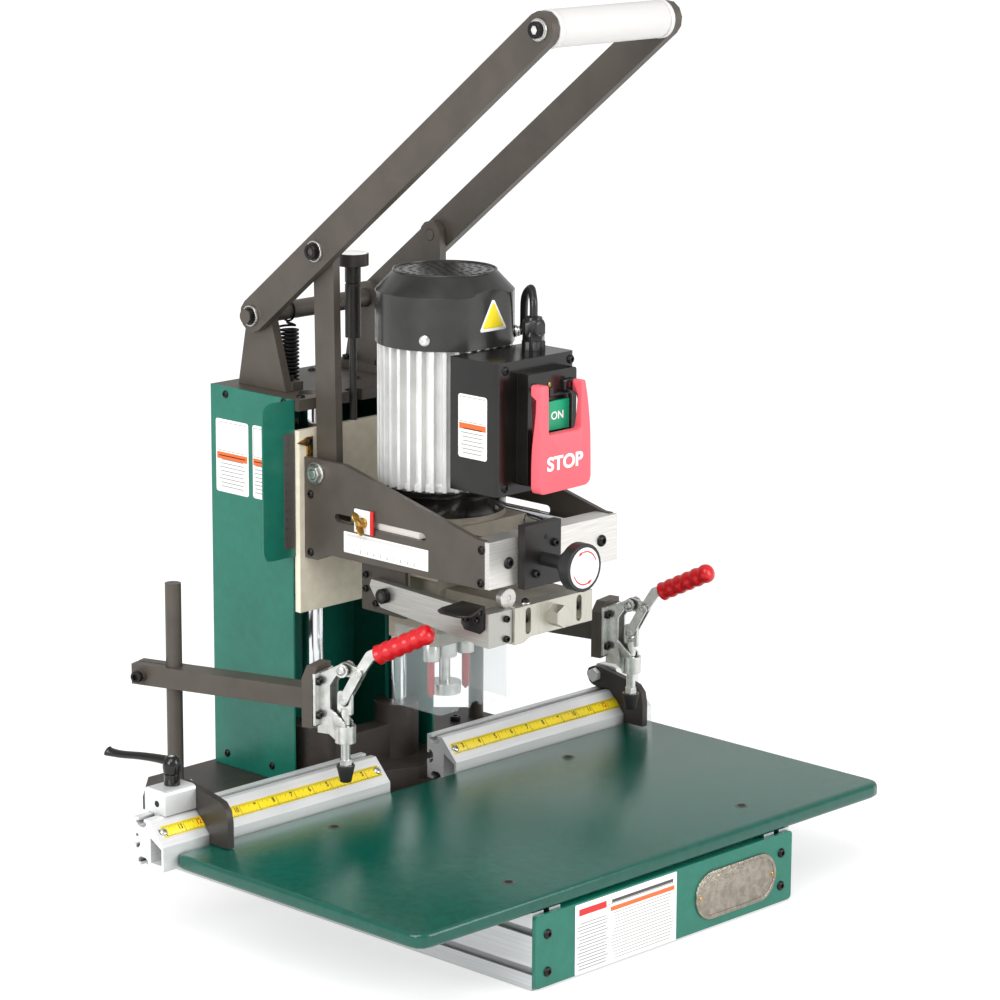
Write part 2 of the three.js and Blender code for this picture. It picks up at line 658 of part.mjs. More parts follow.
function setbackKnob() {
  const face = barFront - seat - screwPlate.thickness - seat;
  const knobRear = face - setback.collarLength;
  const knobFront = knobRear - setback.knobLength;
  const waist = knobRear - setback.dishLength;
  const profile = [
    [0, -knobRear], [setback.waist, -knobRear], [setback.waist, -knobRear + setback.waistLength],
    [setback.knob, -waist], [setback.knob, -knobFront - setback.edge], [setback.knob - setback.edge, -knobFront],
    [0, -knobFront],
  ];
  const geometry = new THREE.LatheGeometry(profile.map(([r, z]) => new THREE.Vector2(r, z)), facets.fine);
  geometry.rotateX(Math.PI);
  geometry.translate(setback.x, 0, setback.z);
  return joined(
    solid(geometry),
    roundY(setback.collar, knobRear - overrun, face, setback.x, setback.z),
    roundY(setback.screw, knobRear, -setback.end, setback.x, setback.z),
  );
}

function stopSleeveSolid() {
  const s = stopSleeve;
  const bore = stopRod.radius + slip;
  const profile = [
    [bore, s.bottom], [s.radius, s.bottom], [s.radius, s.grooveZ - s.groove], [s.radius - s.groove, s.grooveZ],
    [s.radius, s.grooveZ + s.groove], [s.radius, s.knobBottom], [s.knob, s.knobBottom],
    [s.knob, s.knobTop], [0, s.knobTop], [0, s.bore], [bore, s.bore], [bore, s.bottom],
  ];
  return turned(profile, stopRod.x, stopRodY(), facets.plain);
}

function motorMount() {
  const z0 = mount.bottom;
  let body = joined(
    block(-mount.half, mount.half, -mount.front, -mount.back, z0, mount.deck),
    roundZ(motor.ringRadius, z0, mount.top, 0, axis.y, facets.fine),
    block(-gearHousing.half, gearHousing.half, -gearHousing.front, -gearHousing.back, gearHousing.bottom, z0 + overrun),
  );
  const p = restPlate;
  const plate = outline([
    [-p.left, -gearHousing.front + overrun], [-p.left, -p.front], [p.right, -p.front],
    [p.right, -p.notchRear], [p.notchX + p.notch, -p.notchRear - p.notch],
    [p.notchX, -p.notchRear], [p.notchX, -gearHousing.front + overrun],
  ]);
  body = body.add(alongZ(plate, p.bottom, p.top));
  const hangerX = -(swing.outer - swing.thickness - seat);
  const hanger = rounded([
    [swing.pivotY - mount.hangerFront, mount.hangerFoot, mount.hangerCorner],
    [swing.pivotY + mount.hangerRear, mount.hangerFoot, mount.hangerCorner],
    [swing.pivotY + mount.hangerRear, mount.hangerTop],
    [swing.pivotY - mount.hangerFront, mount.hangerTop],
  ]);
  body = joined(
    body,
    alongX(hanger, hangerX, -mount.half + seat),
    roundX(swing.pin, -swing.outer - seat, -mount.half, swing.pivotY, swing.pivotZ),
    roundX(mount.cap, -swing.outer - seat - pivot.headThick, -swing.outer - seat,
      swing.pivotY, swing.pivotZ, facets.small),
  );
  for (const sign of [-1, 1]) {
    body = body.subtract(roundY(
      slideRod.radius + slip, -mount.front - overrun, -mount.back + overrun, sign * slideRod.x, slideRod.z,
    ));
    body = body.subtract(roundZ(
      bits.shank + slip, gearHousing.bottom - overrun, bits.socket, sign * bits.spread, axis.y - bits.forward,
      facets.small,
    ));
  }
  return without(
    body,
    roundY(setback.screw + slip, -mount.front - overrun, -mount.screwEnd, setback.x, setback.z),
    roundZ(rotor.shaft + slip, gearHousing.bottom - overrun, mount.top + overrun, 0, axis.y),
  );
}

function motorBody() {
  const shape = new THREE.Shape();
  const step = (Math.PI * 2) / motor.fins;
  const width = step * motor.finShare;
  const taper = width * motor.finTaperShare;
  for (let i = 0; i < motor.fins; i += 1) {
    const at = i * step;
    const corners = [
      [motor.core, at], [motor.tip, at + taper], [motor.tip, at + width - taper], [motor.core, at + width],
    ];
    for (const [radius, angle] of corners) {
      const [x, y] = [radius * Math.cos(angle), radius * Math.sin(angle)];
      if (i === 0 && angle === at) shape.moveTo(x, y);
      else shape.lineTo(x, y);
    }
  }
  shape.closePath();
  const geometry = new THREE.ExtrudeGeometry(shape, { depth: motor.finTop - motor.finBottom, bevelEnabled: false });
  geometry.translate(0, axis.y, motor.finBottom);
  const low = motor.ringBottom + seat;
  return without(
    joined(
      solid(geometry),
      roundZ(motor.ringRadius, low, motor.finBottom + overrun, 0, axis.y, facets.fine),
    ),
    block(-motor.tip, motor.tip, -motor.flat - motor.tip, -motor.flat, low - overrun, motor.finTop + overrun),
    roundZ(motor.shaftBore, low - overrun, motor.finTop + overrun, 0, axis.y),
  );
}

function fanCoverSolid() {
  const c = fanCover;
  const low = motor.finTop + seat;
  const inner = c.radius - c.wall;
  const form = (profile, face) => without(
    turned(profile, 0, axis.y),
    block(-c.radius, c.radius, axis.y - c.radius - overrun, axis.y - face, low - 2 * overrun, c.top + overrun),
  );
  const shell = without(
    form([[0, low], [c.radius, low], [c.radius, c.shoulder], [c.crown, c.top], [0, c.top]], c.flat),
    form([
      [0, low - overrun], [inner, low - overrun], [inner, c.shoulder - c.wall / 2],
      [c.crown - c.wall, c.top - c.wall], [0, c.top - c.wall],
    ], c.flat - c.wall),
  );
  const holes = [roundZ(c.hole, c.top - c.wall - overrun, c.top + overrun, 0, axis.y, facets.hole)];
  for (let ring = 1; ring <= c.rings; ring += 1) {
    const count = ring * facets.hole;
    for (let i = 0; i < count; i += 1) {
      const angle = (i / count) * Math.PI * 2;
      const [x, y] = [ring * c.pitch * Math.cos(angle), axis.y + ring * c.pitch * Math.sin(angle)];
      holes.push(roundZ(c.hole, c.top - c.wall - overrun, c.top + overrun, x, y, facets.hole));
    }
  }
  return without(shell, ...holes);
}

function rotorSolid() {
  const parts = [
    roundZ(rotor.shaft, bits.collarBottom, rotor.top, 0, axis.y),
    roundZ(rotor.fanHub, rotor.fanBottom, rotor.fanTop, 0, axis.y),
    roundZ(rotor.fanRadius, rotor.fanBottom, rotor.fanBottom + rotor.blade, 0, axis.y),
    roundZ(bits.centreShank, bits.tip, bits.collarBottom + overrun, 0, axis.y, facets.small),
    roundZ(bits.cutter, bits.tip, bits.tip + bits.cutterHeight, 0, axis.y),
    roundZ(bits.chuck, bits.collarBottom, gearHousing.bottom - bits.gap, 0, axis.y),
  ];
  for (let i = 0; i < rotor.blades; i += 1) {
    const geometry = new THREE.BoxGeometry(rotor.fanRadius, rotor.blade, rotor.fanTop - rotor.fanBottom);
    geometry.translate(rotor.fanRadius / 2, 0, (rotor.fanBottom + rotor.fanTop) / 2);
    geometry.rotateZ((i / rotor.blades) * Math.PI * 2);
    geometry.translate(0, axis.y, 0);
    parts.push(solid(geometry));
  }
  return joined(...parts);
}

function sideBit(sign) {
  const [x, y] = [sign * bits.spread, axis.y - bits.forward];
  const top = gearHousing.bottom - bits.gap;
  return joined(
    roundZ(bits.shank, bits.collarBottom, bits.socket - seat, x, y, facets.small),
    roundZ(bits.collar, bits.collarBottom, top, x, y),
    roundZ(bits.radius, bits.tip + bits.radius, bits.collarBottom + seat, x, y, facets.small),
    roundZ(bits.point, bits.tip, bits.tip + bits.radius, x, y, facets.small, bits.radius),
  );
}

function guardSolid() {
  const g = guard;
  const shell = block(-g.half, g.half, -g.front, -g.back, g.bottom, g.top).subtract(block(
    -g.half + g.wall, g.half - g.wall, -g.front + g.wall, -g.back + overrun, g.bottom - overrun, g.top + overrun,
  ));
  const cuts = [-2, 0, 2].map((k) =>
    roundY(g.scallop, -g.front - overrun, -g.front + g.wall + overrun, k * g.scallop, g.bottom + g.scallopRise - g.scallop,
      facets.small),
  );
  return without(shell, ...cuts);
}

function switchBoxSolid() {
  const b = box;
  const top = motor.finTop - b.belowCover;
  const plan = rounded([
    [-b.half, -b.front, b.corner], [b.half, -b.front, b.corner], [b.half, -b.back], [-b.half, -b.back],
  ]);
  const s = switchBase;
  const front = rounded([
    [s.left, s.bottom, b.corner], [s.right, s.bottom, b.corner], [s.right, s.top, b.corner], [s.left, s.top, b.corner],
  ]);
  const parts = [
    alongZ(plan, b.bottom, top),
    alongY(front, -s.front, -b.front + seat),
    roundZ(gland.radius, top - seat, gland.nutTop, gland.x, gland.y, facets.hole),
    roundZ(gland.shoulder, gland.nutTop - seat, gland.top, gland.x, gland.y, facets.plain, gland.neck),
  ];
  const low = paddle.hingeZ - paddleLug.height / 2;
  const high = paddle.hingeZ + paddleLug.height / 2;
  const frontLug = paddle.hingeY - paddleLug.reach;
  for (const [edge, sign] of [[paddle.notchLeft, 1], [paddle.notchRight, -1]]) {
    const inner = edge + sign * paddleLug.gap;
    const [x0, x1] = [inner, inner + sign * paddleLug.width].sort((p, q) => p - q);
    parts.push(block(x0, x1, frontLug, -s.front + seat, low, high));
    const [p0, p1] = [edge - sign * paddleLug.width, inner].sort((p, q) => p - q);
    parts.push(roundX(paddle.pin, p0, p1, paddle.hingeY, paddle.hingeZ, facets.small));
  }
  const pocket = block(
    button.left - slip, button.right + slip, -s.front - overrun, -s.front + s.pocketDeep,
    button.bottom - slip, button.top + slip,
  );
  return joined(...parts).subtract(pocket);
}

function stopPaddleSolid() {
  const p = paddle;
  const s = switchBase;
  const face = rounded([
    [s.left, p.bottom, p.corner], [s.right, p.bottom, p.corner], [s.right, p.top, p.topCorner],
    [p.notchRight, p.top, p.notchCorner], [p.notchRight, p.notchBottom, p.topCorner],
    [p.notchLeft, p.notchBottom, p.topCorner], [p.notchLeft, p.top, p.notchCorner], [s.left, p.top, p.topCorner],
  ]);
  const rear = -p.front + p.thickness;
  const parts = [alongY(face, -p.front, rear, facets.arc)];
  for (const [a, b] of [[s.left, p.notchLeft], [p.notchRight, s.right]]) {
    parts.push(block(a, b, rear - seat, p.hingeY + p.eye, p.hingeZ - p.eye, p.eyeTop));
  }
  for (const x of [s.left, s.right - p.skirt]) {
    parts.push(block(x, x + p.skirt, rear - seat, rear + p.skirtDeep, p.bottom + p.skirtRise, p.notchBottom));
  }
  return without(
    joined(...parts),
    roundX(p.pin + slip, s.left - overrun, s.right + overrun, p.hingeY, p.hingeZ, facets.small),
  );
}

function onButtonSolid() {
  const front = -switchBase.front - button.proud;
  return block(button.left, button.right, front, front + button.length, button.bottom, button.top);
}

// The lead leaves the gland upwards, loops over and enters the fan cover square to its side.
function motorLead() {
  const angle = THREE.MathUtils.degToRad(lead.entryAngle);
  const onCover = (out, z) => new THREE.Vector3(
    (fanCover.radius + out) * Math.cos(angle), axis.y + (fanCover.radius + out) * Math.sin(angle), z,
  );
  const start = gland.top + seat;
  const route = [
    new THREE.Vector3(gland.x, gland.y, start),
    new THREE.Vector3(gland.x, gland.y, start + lead.rise),
    ...[lead.bow, lead.crest, lead.fall].map(([x, y, z]) => new THREE.Vector3(gland.x + x, gland.y + y, start + z)),
    onCover(lead.near[0], lead.entryZ + lead.near[1]),
    onCover(lead.run, lead.entryZ),
    onCover(seat, lead.entryZ),
  ];
  const path = new THREE.CatmullRomCurve3(route, false, "centripetal");
  const section = new THREE.Shape();
  for (let i = 0; i < lead.cableSides; i += 1) {
    const at = (i / lead.cableSides) * Math.PI * 2;
    const [x, y] = [lead.radius * Math.cos(at), lead.radius * Math.sin(at)];
    if (i === 0) section.moveTo(x, y);
    else section.lineTo(x, y);
  }
  return solid(new THREE.ExtrudeGeometry(section, { extrudePath: path, steps: lead.steps, bevelEnabled: false }));
}

function swingFrame() {
  const s = swing;
  const side = outline([
    [s.pivotY + s.rearRadius, s.pivotZ - s.rearRadius / 2], [s.pivotY + s.rearRadius / 2, s.pivotZ - s.rearRadius],
    [-s.frontY, s.frontBottom], [-s.frontY, s.frontTop], [s.pivotY + s.shoulder, s.pivotZ + s.rearRadius],
    [s.pivotY + s.heel, s.pivotZ + s.rearRadius / 2],
  ]);
  const [x0, x1] = [-s.outer, -s.outer + s.thickness];
  return without(
    joined(
      alongX(side, x0, x1),
      block(x0, -s.headInner, -s.frontY, -s.frontY + s.headDepth, s.frontBottom + seat, s.frontTop - seat),
    ),
    roundX(s.pin + slip, x0 - overrun, x1 + overrun, s.pivotY, s.pivotZ),
  );
}

function pressBlockSolid() {
  const p = pressBlock;
  const front = outline([
    [-p.half, p.toeBottom], [-p.half + p.toe, p.toeBottom], [-p.half + p.toe * 2, p.bottom],
    [p.half, p.bottom], [p.half, p.top], [-p.half, p.top],
  ]);
  const hexGeometry = cylinder(p.hex, p.hexLength + seat, facets.hole);
  hexGeometry.translate(0, -p.front - p.hexLength / 2 + seat / 2, (p.slotLow + p.slotHigh) / 2);
  const slots = [-1, 1].map((sign) => {
    const slot = strap(sign * p.slot, p.slotLow, sign * p.slot, p.slotHigh, p.slotHalf);
    return alongY(slot, -p.front - overrun, -p.front + p.slotDeep);
  });
  return without(
    joined(alongY(front, -p.front, -p.front + p.thickness), solid(hexGeometry)),
    ...slots,
  );
}

// One unbroken wire: a hook below the shaft, the coil, and a straight tail to the lug.
function returnSpring() {
  const s = spring;
  const { steps } = s;
  const points = [];
  const rest = (s.top - s.bottom) / (s.turns * steps);
  const [high, low] = [pivot.z - pivot.radius - seat - s.wire, s.anchor];
  points.push(new THREE.Vector3(s.x, springY, high + s.wire));
  points.push(new THREE.Vector3(s.x, springY, high - s.wire));
  const inward = s.radius / 2;
  points.push(new THREE.Vector3(s.x + inward, springY, (high + s.top) / 2 - s.wire));
  for (let i = 0; i <= s.turns * steps; i += 1) {
    const angle = (i / steps) * Math.PI * 2;
    points.push(new THREE.Vector3(
      s.x + s.radius * Math.cos(angle), springY + s.radius * Math.sin(angle), s.top - i * rest,
    ));
  }
  points.push(new THREE.Vector3(s.x + inward, springY, s.bottom - s.hook));
  points.push(new THREE.Vector3(s.x, springY, s.bottom - s.hook * 2));
  points.push(new THREE.Vector3(s.x, springY, low + s.wire * 2));
  points.push(new THREE.Vector3(s.x, springY, low));
  const body = wire(points, s.wire, s.sides);
  printGap("return spring", points, s.wire, steps);
  return body;
}

// A tube of flat-sided section through points, closed at both ends.
function wire(points, radius, sides) {
  const up = new THREE.Vector3(0, 0, 1);
  const positions = [];
  const index = [];
  let across = null;
  points.forEach((point, i) => {
    const before = points[Math.max(i - 1, 0)];
    const after = points[Math.min(i + 1, points.length - 1)];
    const along = after.clone().sub(before).normalize();
    if (!across) across = Math.abs(along.dot(up)) > 0.9 ? new THREE.Vector3(1, 0, 0) : up.clone();
    across = across.clone().addScaledVector(along, -across.dot(along)).normalize();
    const side = along.clone().cross(across);
    for (let k = 0; k < sides; k += 1) {
      const at = (k / sides) * Math.PI * 2;
      const corner = point.clone()
        .addScaledVector(across, radius * Math.cos(at))
        .addScaledVector(side, radius * Math.sin(at));
      positions.push(corner.x, corner.y, corner.z);
    }
  });
  for (let i = 0; i + 1 < points.length; i += 1) {
    for (let k = 0; k < sides; k += 1) {
      const [a, b] = [i * sides + k, i * sides + ((k + 1) % sides)];
      const [c, d] = [a + sides, b + sides];
      index.push(a, b, c, b, d, c);
    }
  }
  const last = (points.length - 1) * sides;
  for (let k = 1; k + 1 < sides; k += 1) {
    index.push(0, k + 1, k);
    index.push(last, last + k, last + k + 1);
  }
  const geometry = new THREE.BufferGeometry();
  geometry.setAttribute("position", new THREE.Float32BufferAttribute(positions, 3));
  geometry.setIndex(index);
  return solid(geometry);
}

// Prints the least gap between turns that aren't neighbours along the wire.
function printGap(name, points, radius, steps) {
  let least = Infinity;
  points.forEach((point, i) => {
    for (let k = i + steps / 2; k < points.length; k += 1) {
      least = Math.min(least, point.distanceTo(points[k]) - 2 * radius);
    }
  });
  console.log(name + ": least gap to itself " + least.toFixed(2) + " mm");
}

function clampPost(sign) {
  return roundZ(post.radius, post.floor + seat, post.top, sign * post.x, post.y, facets.plain);
}

// The pieces of a clamp are drawn with the post on the Z axis and the arm along -Y, about the arm's middle.
function clampArm() {
  const c = clamp;
  const half = c.armHigh / 2;
  const plate = outline([
    [-c.plateHalf, -c.plateDown], [c.plateHalf, -c.plateDown], [c.plateHalf, c.plateUp],
    [-c.plateHalf + c.plateCut, c.plateUp], [-c.plateHalf, c.plateUp - c.plateCut],
  ]);
  const bar = block(-c.armHalf, c.armHalf, -c.plateStart, c.tail, -half, half);
  const bolt = roundX(c.bolt, -c.armHalf - c.boltReach, -c.split - seat, c.boltY, 0, facets.small);
  return without(
    joined(bar, alongY(plate, -c.plateStart - c.plateThick, -c.plateStart + seat), bolt),
    roundZ(post.radius + slip, -half - overrun, half + overrun, 0, 0),
    block(-c.split, c.split, 0, c.tail + overrun, -half - overrun, half + overrun),
  );
}

const pin = (degrees, radius) => {
  const angle = THREE.MathUtils.degToRad(degrees);
  return [-clamp.reach - radius * Math.cos(angle), toggle.pivotUp + radius * Math.sin(angle)];
};
const crankPin = pin(toggle.crankAngle, toggle.crank);
const drop = Math.sqrt(toggle.linkLength ** 2 - (crankPin[0] + clamp.reach) ** 2);
const plungerPin = [-clamp.reach, crankPin[1] - drop];

function clampBody() {
  const [t, c] = [toggle, clamp];
  const front = -c.plateStart - c.plateThick - seat;
  const flange = block(-t.flangeHalf, t.flangeHalf, front - t.flange, front, -t.flangeDown, t.flangeUp);
  const cheek = new THREE.Shape();
  cheek.moveTo(front, t.flangeUp - t.flange);
  cheek.lineTo(front, -t.flangeDown);
  cheek.lineTo(-c.reach + t.toe, -t.bossBottom + t.flange);
  cheek.lineTo(-c.reach - t.heel, -t.bossBottom + t.flange);
  cheek.lineTo(-c.reach - t.heel, -t.bossTop + t.flange);
  cheek.lineTo(-c.reach + t.throat, -t.throatFoot);
  cheek.lineTo(-c.reach + t.throat, t.throatWaist);
  cheek.absarc(-c.reach, t.pivotUp, t.pivotRound, -Math.PI / 4, Math.PI / 2, true);
  cheek.closePath();
  const cheeks = [-1, 1].map((sign) => {
    const span = [sign * t.cheek, sign * (t.cheek + t.cheekThick)].sort((p, q) => p - q);
    return alongX(cheek, ...span);
  });
  const wide = t.cheek + t.cheekThick;
  return without(
    joined(
      flange, ...cheeks,
      roundZ(t.bossRadius, -t.bossBottom, -t.bossTop, 0, -c.reach),
      block(-wide, wide, front - t.throat, front, -t.webFoot, -t.bossTop),
      roundX(t.pin, -wide - t.linkGap, wide + t.linkGap, -c.reach, t.pivotUp, facets.small),
    ),
    roundZ(t.plunger + slip, -t.bossBottom - overrun, -t.bossTop + overrun, 0, -c.reach),
    block(
      -t.web - slip, t.web + slip, -c.reach - t.tongueHalf - slip, -c.reach + t.tongueHalf + slip,
      plungerPin[1] - t.tongueDown - t.travel - seat, -t.bossTop + t.flange + overrun,
    ),
  );
}

function clampHandle() {
  const [t, h] = [toggle, handle];
  const neck = pin(h.neckAngle, h.neck);
  const from = pin(h.gripAngle, h.gripStart);
  const to = pin(h.gripAngle, h.gripEnd);
  const blade = joined(
    alongX(strap(-clamp.reach, t.pivotUp, ...crankPin, h.hub, t.linkRound), -t.web, t.web),
    alongX(strap(...crankPin, ...neck, t.linkRound, h.bar), -t.web, t.web),
    alongX(strap(...neck, ...to, h.bar), -t.web, t.web),
  );
  const length = h.gripEnd - h.gripStart;
  const profile = [
    [0, 0], [h.gripNeck, 0], [h.grip, h.grip / 2], [h.gripWaist, length / 3], [h.grip, length / 2],
    [h.grip, length - h.grip / 2], [h.gripTip, length], [0, length],
  ];
  const geometry = new THREE.LatheGeometry(profile.map(([r, z]) => new THREE.Vector2(r, z)), facets.small);
  geometry.rotateX(Math.PI / 2 + THREE.MathUtils.degToRad(90 - h.gripAngle));
  geometry.translate(0, from[0], from[1]);
  return without(
    joined(blade, solid(geometry)),
    roundX(t.pin + slip, -t.web - overrun, t.web + overrun, -clamp.reach, t.pivotUp, facets.small),
    roundX(t.pin + slip, -t.web - overrun, t.web + overrun, ...crankPin, facets.small),
  );
}

function clampLink() {
  const t = toggle;
  const inner = t.web + t.linkGap;
  const outer = inner + t.linkThick;
  const side = strap(...crankPin, ...plungerPin, t.linkRound);
  return joined(
    alongX(side, -outer, -inner), alongX(side, inner, outer),
    roundX(t.pin, -outer, outer, ...crankPin, facets.small),
    roundX(t.pin, -outer, outer, ...plungerPin, facets.small),
  );
}

function clampPlunger() {
  const t = toggle;
  const [y, z] = plungerPin;
  const tongue = rounded([
    [y - t.tongueHalf, z - t.tongueDown], [y + t.tongueHalf, z - t.tongueDown],
    [y + t.tongueHalf, z + t.tongueUp, t.tongueCorner], [y - t.tongueHalf, z + t.tongueUp, t.tongueCorner],
  ]);
  const eye = new THREE.Shape();
  eye.absellipse(y, z, t.eyeAcross, t.eyeUp, 0, Math.PI * 2, false, 0);
  const low = -t.tipBottom;
  return without(
    joined(
      alongX(tongue, -t.web, t.web),
      roundZ(t.plunger, -t.nutTop - t.nutHigh, z - t.tongueUp, 0, y),
      roundZ(t.nut, -t.nutTop - t.nutHigh, -t.nutTop, 0, y, facets.hole),
      roundZ(t.tipEnd, low, -t.nutTop - t.nutHigh, 0, y, facets.plain, t.tip),
    ),
    alongX(eye, -t.web - overrun, t.web + overrun, facets.small),
  );
}

function stopBlock(sign) {
  const s = stop;
  const length = sign < 0 ? s.blockLength : s.rightBlock;
  const inner = sign < 0 ? s.left : s.right;
  const [x0, x1] = [inner, inner + sign * length].sort((p, q) => p - q);
  const side = rounded([
    [-s.front, s.bottom], [-s.back, s.bottom], [-s.back, s.top, s.bevel], [-s.front, s.top, s.bevel],
  ]);
  const span = (a, b) => [inner - sign * a, inner - sign * b].sort((p, q) => p - q);
  const middle = (-fence.face + fence.ridge + fenceRear) / 2;
  return joined(
    alongX(side, x0, x1),
    block(x0, x1, middle - s.keyHalf, middle + s.keyHalf, s.bottom - s.key, s.bottom + s.key),
    roundX(s.pivotPin, ...span(-seat, s.plate + flip.gap), s.pivotY, s.pivotZ, facets.small),
    roundX(s.nut, ...span(s.plate + flip.gap, s.plate + flip.gap + s.nutThick), s.pivotY, s.pivotZ, facets.hole),
  );
}

function stopPlate(sign) {
  const [s, f] = [stop, flip];
  const inner = sign < 0 ? s.left : s.right;
  const [x0, x1] = [inner - sign * seat, inner - sign * (s.plate + seat)].sort((p, q) => p - q);
  const front = -fence.face - f.clear;
  const ridge = -fence.face + fence.ridge - f.clear;
  const lip = rail.height + seat + fence.lipHeight;
  const foot = tableTop + f.clear;
  const tail = s.pivotZ - fence.top - f.clear;
  const side = new THREE.Shape();
  side.moveTo(s.pivotY, s.pivotZ - tail);
  side.lineTo(ridge, s.pivotZ - tail);
  side.lineTo(front, lip + f.clear * 2);
  side.lineTo(front, foot);
  side.lineTo(front - f.reach, foot);
  side.lineTo(front - f.reach, f.footTop);
  side.quadraticCurveTo(front - f.reach, f.crest - f.clear, front - f.reach + f.knee, f.crest);
  side.lineTo(s.pivotY - f.crestRound, f.crestRear);
  side.quadraticCurveTo(s.pivotY + tail, f.crestRear, s.pivotY + tail, s.pivotZ);
  side.absarc(s.pivotY, s.pivotZ, tail, 0, -Math.PI / 2, true);
  side.closePath();
  return without(
    alongX(side, x0, x1),
    roundX(s.pivotPin + slip, x0 - overrun, x1 + overrun, s.pivotY, s.pivotZ, facets.small),
  );
}

function stopLeverSolid() {
  const [s, l] = [stop, stopLever];
  const x = s.left - l.inset;
  const y = -(s.front + s.back) / 2;
  const low = s.top + seat;
  const angle = THREE.MathUtils.degToRad(l.angle);
  const armZ = low + l.armUp;
  const geometry = new THREE.CylinderGeometry(l.armTip, l.armRoot, l.arm, facets.small);
  geometry.translate(0, l.arm / 2, 0);
  geometry.rotateX(Math.atan2(l.rise, l.arm));
  geometry.rotateZ(angle - Math.PI / 2);
  geometry.translate(x, y, armZ);
  return joined(
    roundZ(l.hub, low, low + l.hubHigh, x, y, facets.plain, l.hubTop),
    solid(geometry),
  );
}

const root = new THREE.Group();
const sidesOf = [["left", -1], ["right", 1]];

function add(name, body, look, group = root) {
  group.add(piece(name, body, look));
}

for (const [side, sign] of sidesOf) add("base_rail_" + side, baseRail(sign), finish.aluminium);
add("front_panel", frontPanel(), finish.green);
add("work_table", workTable(), finish.green);
for (const [side, sign] of sidesOf) add("fence_" + side, fenceBar(sign), finish.aluminium);
add("base_casting", baseCasting(), finish.iron);
add("column_cover_left", leftCover(), finish.green);
add("column_cover_right", rightCover(), finish.green);
add("top_plate", columnTop(), finish.dark);
for (const [side, sign] of sidesOf) {
  add("guide_rod_" + side, guideRod(sign), finish.chrome);
  add("pivot_ear_" + side, pivotEar(sign), finish.dark);
  add("clamp_post_" + side, clampPost(sign), finish.dark);
}
add("pivot_shaft", pivotShaft(), finish.dark);

for (const [side, sign] of sidesOf) {
  add("lever_arm_" + side, leverArm(sign), finish.dark);
  add("link_" + side, linkBar(sign), finish.dark);
  add("side_plate_" + side, sidePlateSolid(sign), finish.dark);
  add("slide_rod_" + side, slideRodSolid(sign), finish.chrome);
}
add("lever_grip", leverGrip(), finish.white);
add("carriage_plate", carriagePlate(), finish.cream);
add("cross_bar", crossBarSolid(), finish.aluminium);
add("screw_plate", screwPlateSolid(), finish.black);
add("setback_knob", setbackKnob(), finish.black);
add("depth_stop_sleeve", stopSleeveSolid(), finish.dark);

add("motor_mount", motorMount(), finish.iron);
add("motor_body", motorBody(), finish.aluminium);
add("fan_cover", fanCoverSolid(), finish.black);
add("rotor", rotorSolid(), finish.zinc);
for (const [side, sign] of sidesOf) add("side_bit_" + side, sideBit(sign), finish.red);
add("drill_guard", guardSolid(), finish.clear);
add("switch_box", switchBoxSolid(), finish.black);
add("stop_paddle", stopPaddleSolid(), finish.red);
add("on_button", onButtonSolid(), finish.buttonGreen);
add("motor_lead", motorLead(), finish.black);
add("swing_frame", swingFrame(), finish.aluminium);
add("press_block", pressBlockSolid(), finish.cream);
add("return_spring", returnSpring(), finish.spring);

const turns = { left: [clamp.leftTurn, clamp.leftZ], right: [clamp.rightTurn, clamp.rightZ] };
for (const [side, sign] of sidesOf) {
  const group = new THREE.Group();
  const [degrees, height] = turns[side];
  group.position.set(sign * post.x, post.y, height);
  group.rotation.z = THREE.MathUtils.degToRad(degrees);
  add("clamp_arm_" + side, clampArm(), finish.dark, group);
  add("clamp_body_" + side, clampBody(), finish.zinc, group);
  add("clamp_handle_" + side, clampHandle(), finish.red, group);
  add("clamp_link_" + side, clampLink(), finish.zinc, group);
  add("clamp_plunger_" + side, clampPlunger(), finish.zinc, group);
  root.add(group);
  add("stop_block_" + side, stopBlock(sign), finish.aluminium);
  add("stop_plate_" + side, stopPlate(sign), finish.dark);
}
add("stop_lever", stopLeverSolid(), finish.black);

export default root;
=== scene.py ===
import math
import bpy
import numpy as np
from mathutils import Matrix, Vector


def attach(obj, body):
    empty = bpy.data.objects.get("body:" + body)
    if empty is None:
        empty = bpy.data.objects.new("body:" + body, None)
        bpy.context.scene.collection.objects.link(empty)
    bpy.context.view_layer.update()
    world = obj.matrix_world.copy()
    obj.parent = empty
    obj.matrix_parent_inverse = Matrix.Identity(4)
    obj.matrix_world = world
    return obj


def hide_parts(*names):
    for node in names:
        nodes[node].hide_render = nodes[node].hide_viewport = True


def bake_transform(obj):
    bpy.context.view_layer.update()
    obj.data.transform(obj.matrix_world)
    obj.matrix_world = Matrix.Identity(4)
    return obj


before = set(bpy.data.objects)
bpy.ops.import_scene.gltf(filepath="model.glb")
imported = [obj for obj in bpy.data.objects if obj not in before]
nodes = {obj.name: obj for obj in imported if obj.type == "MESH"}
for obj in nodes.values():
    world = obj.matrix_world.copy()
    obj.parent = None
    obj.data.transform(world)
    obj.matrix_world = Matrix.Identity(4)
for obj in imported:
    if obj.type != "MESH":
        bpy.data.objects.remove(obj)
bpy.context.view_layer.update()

millimetre = 0.001
print("model loaded:", len(nodes), "nodes")


# sRGB hex to linear: ((v + 0.055) / 1.055) ** 2.4 above the toe, v / 12.92 below it.
def linearColour(hexText):
    value = np.array([int(hexText[i:i + 2], 16) for i in (1, 3, 5)]) / 255.0
    linear = np.where(value <= 0.04045, value / 12.92, ((value + 0.055) / 1.055) ** 2.4)
    return (*linear.tolist(), 1.0)


